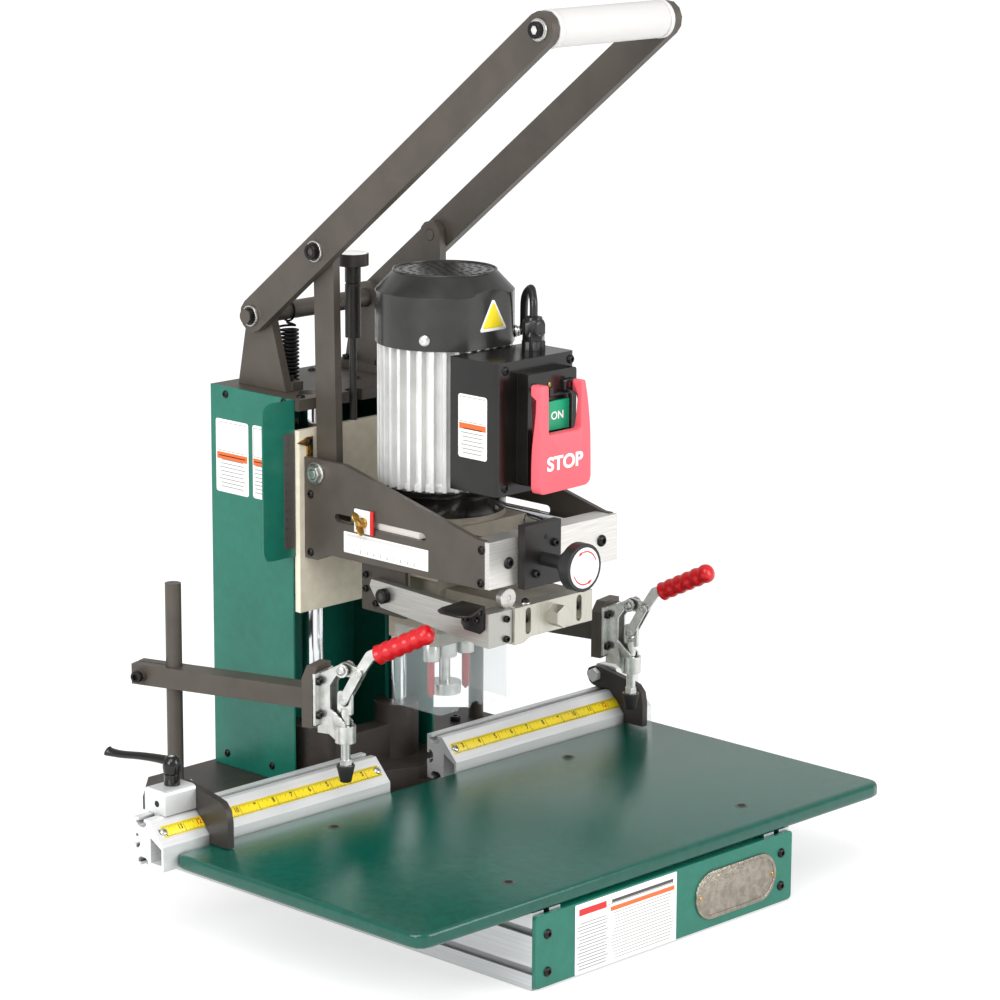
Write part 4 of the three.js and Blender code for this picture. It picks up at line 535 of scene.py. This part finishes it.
# Turned pieces: body, finish, sides, place, direction and rings.
gripCap = [(19.1, 0), (19.3, 0.6), (19.3, 5.0), (18.2, 6.4), (8.4, 6.6)]
bitCollar = [(8.4, 0), (9.2, 0.8), (9.2, 22.4), (8.6, 23.2)]
turnedPieces = {
    "leadBush": ("head", zinc, 20, (50.6, -191.5, 593), (math.cos(lead["entry"]), math.sin(lead["entry"]), 0),
                 [(6.4, 0), (6.4, 2), (5.6, 2.6), (5.4, 5), (4.6, 5.6)]),
    "leadGland": ("head", blackAbs, 24, (31, -237, 582), up,
                  [(12.6, 0, 1), (12.6, 9, 1), (11.2, 9.8, 0.4), (9.4, 10.4), (9.4, 15.6), (11.2, 16.2, 0.4),
                   (12.4, 17, 1), (12.4, 27, 1), (11.2, 30, 0.3), (8.4, 32.6), (7.4, 34.2), (5.2, 35)]),
    "motorFootRing": ("head", blackCoat, 72, (0, motor["y"], 406.5), up,
                      [(64.4, 0), (64.7, 0.5), (64.7, 20.2), (68.4, 21.4), (69, 22.2), (69, 27.4), (68.2, 28.2),
                       (58, 28.3)]),
    "gripCapLeft": ("lever", whiteNylon, 40, (-76.6, -361, 926), left, gripCap),
    "gripCapRight": ("lever", whiteNylon, 40, (76.6, -361, 926), right, gripCap),
    "bitCollarLeft": ("bit_left", zinc, 28, (-26, -144.5, 242.9), up, bitCollar),
    "bitCollarRight": ("bit_right", zinc, 28, (26, -144.5, 242.9), up, bitCollar),
    "knobLabel": ("setback_knob", whiteVinyl, 48, (-26.0, -364.5, 382.0), front, [(21, 0), (21, 0.3), (20.7, 0.5)]),
    "depthKnobTop": ("depth_stop", whiteVinyl, 40, (-20, -21, 664.0), up, [(15.8, 0), (15.8, 0.4), (15.2, 0.7)]),
    "latchDisc": ("head", milledBar, 36, (-56.6, -280.2, 342), front,
                  [(11, 0), (11, 7), (10.2, 8), (3.6, 8), (3.3, 7)]),
}
for name, (body, material, segments, place, direction, rings) in turnedPieces.items():
    addPiece(name, *placed(turnedForm(rings, segments), frameAlong(place, direction)), material, body)
# the lip round the cover's grille
lipPath = arcPath(planeFrame((0, motor["y"], motor["lipHeight"]), right, back), motor["lipRadius"], 72)
addPiece("grilleLip", *tubeForm(lipPath, 1.3, 8), coverCoat, "head")


# The outlines of a word as a flat mesh, 1 high at its capitals, centred on its middle.
def letterForm(text, bold):
    curve = bpy.data.curves.new("letters", "FONT")
    curve.body = text
    curve.offset = bold
    holder = bpy.data.objects.new("letters", curve)
    mesh = holder.to_mesh()
    points = np.array([vertex.co for vertex in mesh.vertices])
    faces = [list(face.vertices) for face in mesh.polygons]
    holder.to_mesh_clear()
    bpy.data.objects.remove(holder)
    bpy.data.curves.remove(curve)
    low, high = points.min(0), points.max(0)
    return (points - [(low[0] + high[0]) / 2, (low[1] + high[1]) / 2, 0]) / (high[1] - low[1]), faces


# Words on a plane; entries are (text, u, v, height, widen).
def printWords(name, body, material, plane, entries, lift, bold=0.0):
    forms = []
    for text, x, y, height, widen in entries:
        points, faces = letterForm(text, bold)
        forms.append((moved(points * [height * widen, height, 1] + [x, y, lift], plane), faces))
    return addPiece(name, *together(forms), material, body, smooth=False)


# Flat bars on a plane: each row is (u, v, width, height); a single number serves all rows.
def printBars(name, body, material, plane, columns, lift=0.3):
    bars = np.stack(np.broadcast_arrays(*columns), -1).reshape(-1, 4)
    corners = np.array([[-1, -1], [1, -1], [1, 1], [-1, 1]]) / 2
    flat = bars[:, None, :2] + corners[None] * bars[:, None, 2:]
    points = np.concatenate([flat, np.full((len(bars), 4, 1), lift)], -1)
    faces = (np.arange(len(bars))[:, None] * 4 + np.arange(4)).tolist()
    return addPiece(name, moved(points.reshape(-1, 3), plane), faces, material, body, smooth=False)


# A thin plate with round corners on a plane.
def label(name, body, material, plane, width, height, corner=2.0, thickness=0.25, shoulderShare=0.4):
    form = plateForm(roundedOutline(width, height, corner), thickness, thickness * shoulderShare)
    return addPiece(name, *placed(form, plane), material, body)


# The fences' tapes: sixteenths of an inch along the upper edge, millimetres along the lower one.
tape = {"middleY": -96.2, "middleZ": 118.1, "width": 13.0, "low": 55.0, "high": 360.0, "inch": 25.4, "edge": 0.3,
        "slope": (0, 22.0, 23.7), "aside": 4.6, "lift": 0.36}
for tag, sign in (("Left", -1), ("Right", 1)):
    middle = sign * (tape["low"] + tape["high"]) / 2
    plane = planeFrame((middle, tape["middleY"], tape["middleZ"]), right, tape["slope"])
    label("fenceTape" + tag, "base", tapeLacquer, plane, tape["high"] - tape["low"], tape["width"], 1.0, 0.3)
    sixteenth = np.arange(math.ceil(tape["low"] / tape["inch"] * 16) + 1, int(tape["high"] / tape["inch"] * 16))
    inchLength = np.select([sixteenth % 16 == 0, sixteenth % 8 == 0, sixteenth % 4 == 0, sixteenth % 2 == 0],
                           [12.4, 5.0, 4.0, 3.0], 2.2)
    mm = np.arange(math.ceil(tape["low"]) + 1, int(tape["high"]))
    mmLength = np.select([mm % 10 == 0, mm % 5 == 0], [3.4, 2.6], 1.6)
    edge = tape["width"] / 2 - tape["edge"]
    printBars("tapeMarks" + tag, "base", blackInk, plane, [
        np.concatenate([sign * sixteenth * tape["inch"] / 16 - middle, sign * mm - middle]),
        np.concatenate([edge - inchLength / 2, mmLength / 2 - edge]),
        np.repeat([0.5, 0.4], [len(sixteenth), len(mm)]), np.concatenate([inchLength, mmLength])], tape["lift"])
    inches = [n for n in range(3, 15) if n != 12]
    printWords("tapeNumbers" + tag, "base", blackInk, plane,
               [(str(n), sign * n * tape["inch"] - middle - tape["aside"], 1.2, 5.6, 0.85) for n in inches],
               tape["lift"] + 0.01, 0.03)
    printWords("tapeFoot" + tag, "base", redInk, plane,
               [("12", sign * 12 * tape["inch"] - middle - 5.2, 1.2, 6.4, 0.85)], tape["lift"] + 0.01, 0.03)
    normal = plane[:3, 2]
    fasteners("tapeScrews" + tag, "base", zinc, [("button", normal, 4.4, [
        np.array([sign * x, tape["middleY"], tape["middleZ"]]) + normal * [0, 0.3, 0.3]
        for x in (tape["low"] + 4, tape["high"] - 2)])])

# The depth ruler on the bracket: centimetres numbered downwards.
ruler = {"place": (-111.5, -18.6, 419.5), "width": 15.0, "height": 125.0, "zero": 60.0}
rulerPlane = planeFrame(ruler["place"], right, up)
label("depthRuler", "base", etchedSteel, rulerPlane, ruler["width"], ruler["height"], 0.8, 0.6)
mark = np.arange(0, 121)
markLength = np.select([mark % 10 == 0, mark % 5 == 0], [7.0, 5.0], 3.2)
printBars("rulerMarks", "base", blackInk, rulerPlane,
          [ruler["width"] / 2 - 0.5 - markLength / 2, ruler["zero"] - mark, markLength, 0.3], 0.64)
printWords("rulerNumbers", "base", blackInk, rulerPlane,
           [(str(n), -4.2, ruler["zero"] - 10 * n, 3.4, 0.9) for n in range(1, 12)], 0.65)

# The setback scale on the left side plate, in millimetres.
setback = {"place": (-95.7, -148.25, 374.5), "width": 125.5, "height": 22.5, "zero": 57.5, "tick": 0.35}
scalePlane = planeFrame(setback["place"], front, up)
label("setbackScale", "carriage", whiteVinyl, scalePlane, setback["width"], setback["height"], 0.8)
tick = np.arange(0, 116, 1.0)
tickLength = np.select([tick % 10 == 0, tick % 5 == 0], [5.0, 4.0], 2.6)
printBars("setbackMarks", "carriage", greyInk, scalePlane,
          [tick - setback["zero"], 9.5 - tickLength / 2, setback["tick"], tickLength])
printBars("setbackMarksLow", "carriage", greyInk, scalePlane,
          [tick[::2] - setback["zero"], -1.6, setback["tick"], tickLength[::2]])
printWords("setbackNumbers", "carriage", blackInk, scalePlane,
           [(str(n), 10.0 * n - setback["zero"], -7.2, 3.6, 0.8) for n in range(1, 12)], 0.31)

# Small plates: body, finish, centre, its right and up, width, height, corner, thickness and shoulder share. The pale
# carrier stands on the casting and fills the view through the slot, its pale colour painted light for the lit casting
# seen there; the flange is folded back under the table.
plates = {
    "setbackPointer": ("head", whiteVinyl, (-96.4, -116.2, 400.5), front, up, 26.0, 25.0, 1.2, 1.6, 0.4),
    "setbackPointerEdge": ("head", redInk, (-96.5, -129.8, 400.5), front, up, 4.6, 26.0, 0.5, 2.0, 0.4),
    "setbackPointerCarrier": ("head", paintedLightNylon, (-75.6, -147.0, 398.0), front, up, 88.0, 11.0, 0.8, 13.4, 0.5 / 13.4),
    "depthPointerPlate": ("carriage", brass, (-88.5, -25.2, 462.0), right, up, 8.5, 26.0, 0.8, 1.5, 0.4),
    "panelFlange": ("base", greenEnamel, (0.0, -448.0, 75.0), right, back, 308.0, 16.5, 1.0, 1.8, 0.4),
    "switchLampHousing": ("head", blackAbs, (31.5, -285.0, 552.3), right, up, 17.0, 12.0, 2.0, 4.0, 0.4),
    "switchLamp": ("head", lampRed, (32.5, -289.0, 552.3), right, up, 7.0, 6.0, 1.4, 0.8, 0.4),
}
for name, (body, material, centre, rightward, upward, *sizes) in plates.items():
    label(name, body, material, planeFrame(centre, rightward, upward), *sizes)

# The pointer's wing screw: a lathed body and two flat lobes.
wing = {"place": (-97.9, -118.0, 400.0), "lobe": (-8.5, 3.2, 6.4), "lean": (0.2, 0.85, -0.5)}
wingBody, wingFaces = turnedForm([(5.6, 0), (5.6, 2.2), (4.2, 2.8), (4.2, 8.0), (3.4, 9.5), (1.0, 9.9)], 20)
wingForms = [(moved(wingBody, frameAlong(wing["place"], left)), wingFaces)]
lobe, lobeFaces = turnedForm([(0.6, -1.1), (5.2, -1.1), (6.2, 0), (5.2, 1.1), (0.6, 1.1)], 18)
for sign in (-1, 1):
    lobePlace = np.array(wing["place"]) + np.array(wing["lobe"]) * [1, sign, sign]
    wingForms.append((moved(lobe * [1, 0.75, 1], frameAlong(lobePlace, wing["lean"], right)), lobeFaces))
addPiece("setbackWingScrew", *together(wingForms), brass, "head")
pointer = {"place": (-92.6, -25.2, 471.5), "thickness": 1.6,
           "outline": [(-13.9, 0), (-6.4, -2.4), (0.6, -5), (8.6, -5), (8.6, 5), (0.6, 5), (-6.4, 2.4)]}
pointerPoints, pointerFaces = plateForm(pointer["outline"][::-1], pointer["thickness"], 0.3)
addPiece("depthPointer", moved(pointerPoints, planeFrame(pointer["place"], right, up)), pointerFaces, brass, "carriage")
print("scales printed")

# Bare places of the labels: a band, a frame and plain lines, as shares of the label's size.
signs = {
    "coverLarge": ("base", (-105.1, 78.0, 441.0), 52.0, 80.0),
    "coverSmall": ("base", (-105.1, 33.0, 441.5), 24.5, 79.5),
    "box": ("head", (-57.1, -236.2, 512.5), 41.0, 66.0),
}
for tag, (body, centre, width, height) in signs.items():
    plane = planeFrame(centre, front, up)
    label(tag + "Label", body, whiteVinyl, plane, width, height, 3.0)
    rows = np.arange(-height * 0.42, height * 0.02, 4.2)
    printBars(tag + "Lines", body, greyInk, plane, [0, rows, width * (0.72 + 0.08 * np.cos(rows)), 1.0])
    printBars(tag + "Band", body, orangeInk, plane, [0, 0, width * 0.93, height * 0.095])
    printBars(tag + "Frame", body, greyInk, plane, [
        [0, 0, -width * 0.43, width * 0.43], np.array([0.46, 0.07, 0.265, 0.265]) * height,
        [width * 0.86, width * 0.86, 0.7, 0.7], [0.7, 0.7, height * 0.39, height * 0.39]])

panel = {"place": (-63.0, -460.4, 38.6), "width": 151.0, "height": 73.0, "leftColumn": -50.0, "rightColumn": 24.0}
panelPlane = planeFrame(panel["place"], right, up)
label("panelLabel", "base", whiteVinyl, panelPlane, panel["width"], panel["height"], 1.0)
rows = np.arange(-32.0, 18.0, 3.4)
printBars("panelLabelLines", "base", greyInk, panelPlane, [
    np.repeat([panel["leftColumn"], panel["rightColumn"], 0], [len(rows), len(rows), 1]),
    np.concatenate([rows, rows, [26]]),
    np.concatenate([42 + 4 * np.cos(rows * 3), 88 + 6 * np.sin(rows * 2), [140]]),
    np.repeat([1.1, 0.8], [len(rows), len(rows) + 1])])
printBars("panelLabelBand", "base", orangeInk, panelPlane, [panel["rightColumn"], 20.5, 96.0, 4.6])
printBars("panelLabelBlock", "base", redInk, panelPlane, [panel["leftColumn"], 27.5, 40.0, 7.0], 0.32)
printBars("panelLabelHeading", "base", etchedSteel, panelPlane, [panel["rightColumn"], 28.5, 92.0, 3.4], 0.32)

badge = {"place": (105.0, -460.4, 37.2), "width": 127.0, "height": 52.0, "corner": 25.9, "rim": 4.0, "thick": 2.4}
badgePlane = planeFrame(badge["place"], right, up)
badgeOutline, rimOutline = (roundedOutline(badge["width"] - 2 * inset, badge["height"] - 2 * inset,
                                           badge["corner"] - inset, 10) for inset in (0, badge["rim"]))
addPiece("badgeBlank", *placed(plateForm(badgeOutline, badge["thick"], 1.2), badgePlane), pewter, "base")
addPiece("badgeRim", *tubeForm(raisedPath(rimOutline, 2.3, badgePlane), 0.8, 8), pewter, "base")

# the plain yellow mark on the fan cover's flat
coverMark = {"place": (3.0, -206.1, 616.5),
             "outline": [(-17.5, -15.5), (17.5, -15.5), (19, -13.5), (1.6, 16.5), (-1.6, 16.5), (-19, -13.5)]}
for tag, share, material, lift in (("Rim", 1.0, whiteVinyl, 0.0), ("", 0.8, yellowVinyl, 0.25)):
    points, faces = plateForm(np.array(coverMark["outline"]) * share, 0.3, 0.1)
    place = planeFrame(coverMark["place"], right, up)
    addPiece("coverMark" + tag, moved(points + [0, 0, lift], place), faces, material, "head")

printWords("stopWord", "paddle", whiteInk, planeFrame((6.3, -306.0, 478.3), right, up),
           [("STOP", 0, 0, 15.2, 1.12)], 0.3, 0.035)
printWords("onWord", "button", whiteInk, planeFrame((13.2, -288.0, 522.9), right, up),
           [("ON", 0, 0, 8.4, 1.05)], 0.2, 0.02)
print("labels placed")

# the collar round the button
collarPath = raisedPath(roundedOutline(40.0, 42.0, 5.0), 0.0, planeFrame((16.0, -285.2, 523.0), right, up))
addPiece("buttonCollar", *tubeForm(collarPath, 2.0, 8), blackAbs, "head")


# A closed outline whose corners (x, z, reach) are rounded by parabolas, in even steps of about 2 mm.
def softOutline(corners):
    points = np.array([corner[:2] for corner in corners], dtype=float)
    path = []
    for i, (x, z, reach) in enumerate(corners):
        before, after = points[i - 1] - points[i], points[(i + 1) % len(points)] - points[i]
        start = points[i] + before / np.linalg.norm(before) * reach
        end = points[i] + after / np.linalg.norm(after) * reach
        t = np.linspace(0, 1, 7)[:, None]
        path.append((1 - t) ** 2 * start + 2 * t * (1 - t) * points[i] + t ** 2 * end)
    path = np.concatenate(path + [path[0][:1]])
    length = np.concatenate([[0.0], np.cumsum(np.linalg.norm(np.diff(path, axis=0), axis=1))])
    even = np.linspace(0, length[-1], int(length[-1] / 2.0), endpoint=False)
    return np.stack([np.interp(even, length, path[:, 0]), np.interp(even, length, path[:, 1])], -1)


# The moulded stop paddle: a notched plate that flares downwards, its rim round, its walls deepest at the foot.
paddle = {"face": -306.0, "depth": 12.5, "thin": 7.0, "foot": 478.0, "hook": 546.0, "round": 1.7}
paddleOutline = softOutline([
    (-30.4, 447.4, 8), (46.3, 448.6, 11), (45.8, 478, 6), (44.9, 509, 10), (41.2, 538, 8), (36.6, 559, 1.5),
    (30.1, 558.4, 1.5), (30.2, 508.6, 2.5), (-17, 508.4, 2.5), (-17.7, 559.8, 3), (-31.2, 560.6, 3)])
tangent = np.roll(paddleOutline, -1, 0) - np.roll(paddleOutline, 1, 0)
tangent /= np.linalg.norm(tangent, axis=1, keepdims=True)
inward = np.stack([-tangent[:, 1], tangent[:, 0]], -1)
# depth of the wall at height z: full at the foot, less above it by a cosine, full again at the hinge
rise = np.clip((paddleOutline[:, 1] - paddle["foot"]) / (paddle["hook"] - paddle["foot"]), 0, 1)
wall = paddle["depth"] - paddle["thin"] * (0.5 - 0.5 * np.cos(math.pi * rise)) * (paddleOutline[:, 1] < paddle["hook"])
paddleRings = []
for inset, setIn in ((0.0, wall), (0.0, paddle["round"]), (0.5, 0.5), (paddle["round"], 0.0)):
    edgeLine = paddleOutline + inward * inset
    paddleRings.append(np.stack([edgeLine[:, 0], np.full(len(edgeLine), paddle["face"]) + setIn, edgeLine[:, 1]], -1))
paddlePiece = addPiece("stopPaddleMoulding", np.concatenate(paddleRings), ringFaces(4, len(paddleOutline)), stopAbs,
                       "paddle")
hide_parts("stop_paddle")


# Heads given in a frame of their own, carried to the model's.
def carried(rows, place):
    return [(profile, place[:3, :3] @ direction, radius, moved(places, place))
            for profile, direction, radius, places in rows]


# The clamps, drawn about their posts: side, x, y, z and the angle of the arm.
clampPlaces = {"left": (-226.6, 37.0, 230.0, 18.0), "right": (226.6, 37.0, 222.0, 12.0)}
clampHeads = {
    "clampRivets": ("clamp_", zinc, bothSides("rivet", 4.6, 9.6, [(-205.0, 33.0)])),
    "clampPins": ("clamp_link_", zinc, bothSides("lowRivet", 4.2, 5.62, [(-221.78, 31.0), (-205.0, 0.4)])),
    "clampScrews": ("clamp_", blackOxide, [
        ("cap", front, 4.0, [(x, -180.3, z) for x in (-13.6, 13.6) for z in (20, -16)]),
        ("cap", left, 6.4, [(-18.6, 33, 0)])]),
}
grip = {"start": 41.0, "end": 113.0, "tilt": math.radians(27), "radius": 10.0, "waves": 6, "pivot": (0, -205.0, 33.0)}
# finger waves: r = radius * (1 + 0.06 * sin(2 pi waves t)), closed round at both ends
t = np.linspace(0, 1, 49)
swell = grip["radius"] * (1 + 0.06 * np.sin(2 * math.pi * grip["waves"] * t))
swell = swell * np.clip(np.sqrt(np.clip(1 - ((t - 0.93) / 0.07) ** 2, 0, 1)) * (t > 0.93) + (t <= 0.93), 0.12, 1)
swell = swell * np.clip(0.72 + t * 8, 0, 1)
gripWay = np.array([0, -math.cos(grip["tilt"]), math.sin(grip["tilt"])])
gripPath = grip["pivot"] + gripWay * (grip["start"] + t[:, None] * (grip["end"] - grip["start"]))
gripPoints, gripFaces = tubeForm(gripPath, swell, 22)
tipRings = [(5.6, 0), (6.2, 0.8), (7.2, 6.3), (8.6, 12.3), (9.7, 16.6), (9.3, 18.2), (5.2, 18.7)]
tipForm = placed(turnedForm(tipRings, 26), frameAlong((0, -205, -87.3), up))
for side, (x, y, z, degrees) in clampPlaces.items():
    a = math.radians(degrees)
    clampFrame = planeFrame((x, y, z), (math.cos(a), math.sin(a), 0), (-math.sin(a), math.cos(a), 0))
    addPiece("clampGrip" + side.title(), moved(gripPoints, clampFrame), gripFaces, redVinyl, "handle_" + side)
    for name, (body, material, rows) in clampHeads.items():
        fasteners(name + side.title(), body + side, material, carried(rows, clampFrame))
    addPiece("clampTip" + side.title(), *placed(tipForm, clampFrame), blackRubber, "plunger_" + side)
print("clamps finished")

# The knob's two curved arrows: arc bands that end in a point.
arrow = {"place": (-26.0, -365.1, 382.0), "middle": 16.8, "inner": 16.2, "outer": 17.6, "sweep": 110, "steps": 23}
step = np.arange(arrow["steps"] + 1)
taper = (arrow["steps"] - step) * 0.45
inner = np.where(step > 18, arrow["middle"] - taper, arrow["inner"])
outer = np.where(step > 18, arrow["middle"] + taper, arrow["outer"])
for start, tag in ((20, "A"), (200, "B")):
    bandPoints = np.concatenate([arcPath(planeFrame(arrow["place"], right, up), radius, arrow["steps"], start,
                                         start + arrow["sweep"]) for radius in (inner, outer)])
    addPiece("knobArrow" + tag, bandPoints, gridFaces(2, len(step)), redInk, "setback_knob", smooth=False)

# A finger tab of bent sheet: its flange on the swing arm's face, its blade level and outward.
tab = {"top": 341.0, "sheet": 2.6, "x": -93.2,
       "blade": [(-93.2, -258), (-126, -261), (-136, -265), (-140, -273), (-140, -297), (-136, -304), (-128, -305),
                 (-93.2, -289)],
       "flange": [(258, 341), (258, 318), (263, 312), (284, 311), (290, 316), (290, 341)]}
for tag, outline, plane in (("", tab["blade"], planeFrame((0, 0, tab["top"] - tab["sheet"]), right, back)),
                            ("Flange", tab["flange"], planeFrame((tab["x"], 0, 0), front, up))):
    addPiece("fingerTab" + tag, *placed(plateForm(outline, tab["sheet"], 0.8), plane), blackOxide, "swing")
print("knobs finished")

# The stop's clamping handle: a lathed hub and an arm that thins, then widens at its end.
handle = {
    "hub": [(8.0, 0), (8.2, 0.6), (8.2, 11), (7.4, 11.8), (8.8, 13), (9.5, 18), (9.3, 23.4), (7.6, 27.6), (4.8, 30),
            (4.2, 30.1), (3.9, 28.8)],
    "seat": (-325, -72, 156.3), "sides": 16, "flatten": 0.8,
    "arm": [(-325, -72, 180.4), (-330, -54.5, 181.2), (-335.7, -34, 180.6), (-341.5, -13, 179), (-345.2, 0, 179.4),
            (-346.6, 4.6, 180.4)]}
hubPoints, hubFaces = turnedForm(handle["hub"], 30)
armPath = smoothPath(handle["arm"])
along = np.linspace(0, 1, len(armPath))
# half width 6.2 at the root, 4.4 in the middle, 7.2 near the tip, rounded off at the end; eight tenths as thick
armWidth = (6.2 - 3.9 * along + 4.9 * along ** 3) * np.sqrt(1 - np.clip((along - 0.93) / 0.07, 0, 0.95) ** 2)
armPoints, armFaces = tubeForm(armPath, armWidth, handle["sides"])
armPoints = armPoints.reshape(len(armPath), handle["sides"], 3)
armPoints[..., 2] = armPath[:, None, 2] + (armPoints[..., 2] - armPath[:, None, 2]) * handle["flatten"]
stopHandle = addPiece("stopHandle", *together([(moved(hubPoints, frameAlong(handle["seat"], up)), hubFaces),
                                               (armPoints.reshape(-1, 3), armFaces)]), blackCoat, "stop_lever")
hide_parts("stop_lever")

# The floor, the light and the camera. The floor is 120 m wide and half a millimetre below the feet.
stage = {"reach": 60000.0, "below": 0.5, "glow": 0.62, "skyFill": 0.62, "skySeen": 1.0}


# A factor that is one for rays of any of the given kinds.
def raysOf(tree, *kinds):
    ray = addNode(tree, "ShaderNodeLightPath")
    factor = ray.outputs[kinds[0]]
    for kind in kinds[1:]:
        factor = addNode(tree, "ShaderNodeMath", {"operation": "MAXIMUM"}, {0: factor, 1: ray.outputs[kind]}).outputs[0]
    return factor


# White paper floor: matt, with a glow seen by the camera and in mirrors only, so shadows stay.
def paperFloor():
    material = bpy.data.materials.new("whitePaperFloor")
    tree = emptyTree(material)
    matt = addNode(tree, "ShaderNodeBsdfDiffuse", {"Color": linearColour("#f2f2f2")})
    pale = addNode(tree, "ShaderNodeBsdfDiffuse", {"Color": linearColour("#b4b4b4")})
    glow = addNode(tree, "ShaderNodeEmission", {"Color": linearColour("#ffffff"), "Strength": stage["glow"]})
    both = addNode(tree, "ShaderNodeAddShader", links={0: pale.outputs[0], 1: glow.outputs[0]})
    seen = raysOf(tree, "Is Camera Ray", "Is Glossy Ray", "Is Transmission Ray")
    mix = addNode(tree, "ShaderNodeMixShader", links={0: seen, 1: matt.outputs[0], 2: both.outputs[0]})
    addNode(tree, "ShaderNodeOutputMaterial", links={"Surface": mix.outputs[0]})
    return material


floorPoints = np.array([[-1, -1, 0], [1, -1, 0], [1, 1, 0], [-1, 1, 0]]) * stage["reach"] - [0, 0, stage["below"]]
floor = addPiece("studioFloor", floorPoints, [[0, 1, 2, 3]], paperFloor(), None, smooth=False)

# White studio: a fill for the light, and plain white for the camera and through clear sheet.
world = bpy.data.worlds.new("whiteStudio")
bpy.context.scene.world = world
sky = emptyTree(world)
fill, bright = (addNode(sky, "ShaderNodeBackground", {"Color": linearColour("#ffffff"), "Strength": stage[key]})
                for key in ("skyFill", "skySeen"))
skyMix = addNode(sky, "ShaderNodeMixShader", links={0: raysOf(sky, "Is Camera Ray", "Is Transmission Ray"),
                                                    1: fill.outputs[0], 2: bright.outputs[0]})
addNode(sky, "ShaderNodeOutputWorld", links={"Surface": skyMix.outputs[0]})

lamps = {
    "keySun": {"kind": "SUN", "power": 1.5, "from": (-1.0, -0.55, 1.5), "angle": 40.0},
    "frontSoftbox": {"kind": "AREA", "power": 120.0, "from": (1.7, -4.4, 2.0), "size": 2.6},
    "leftSoftbox": {"kind": "AREA", "power": 26.0, "from": (-2.4, -0.4, 1.1), "size": 1.0},
}
lampTarget = Vector((0, -0.1, 0.45))
for name, lamp in lamps.items():
    data = bpy.data.lights.new(name, lamp["kind"])
    data.energy = lamp["power"]
    aim = -Vector(lamp["from"])
    if lamp["kind"] == "SUN":
        data.angle = math.radians(lamp["angle"])
    else:
        data.shape = "SQUARE"
        data.size = lamp["size"]
        aim += lampTarget
    light = bpy.data.objects.new(name, data)
    light.location = lamp["from"]
    light.rotation_euler = aim.to_track_quat("-Z", "Y").to_euler()
    bpy.context.scene.collection.objects.link(light)

# The camera stands where the photograph was taken from, by a fit to the scales and corners.
view = {"place": (-2.6105, -2.7535, 1.2425), "yaw": 45.858, "pitch": 12.664, "roll": -0.253, "lens": 129.42,
        "sensor": 36.0, "far": 200.0}
turns = [Matrix.Rotation(math.radians(angle), 4, axis)
         for angle, axis in ((-view["yaw"], "Z"), (90 - view["pitch"], "X"), (-view["roll"], "Z"))]
cameraData = bpy.data.cameras.new("photographCamera")
cameraData.lens = view["lens"]
cameraData.sensor_width = view["sensor"]
cameraData.clip_end = view["far"]
camera = bpy.data.objects.new("photographCamera", cameraData)
camera.matrix_world = Matrix.Translation(view["place"]) @ turns[0] @ turns[1] @ turns[2]
bpy.context.scene.collection.objects.link(camera)
bpy.context.scene.camera = camera
bpy.context.scene.view_settings.view_transform = "Standard"
print("stage set")
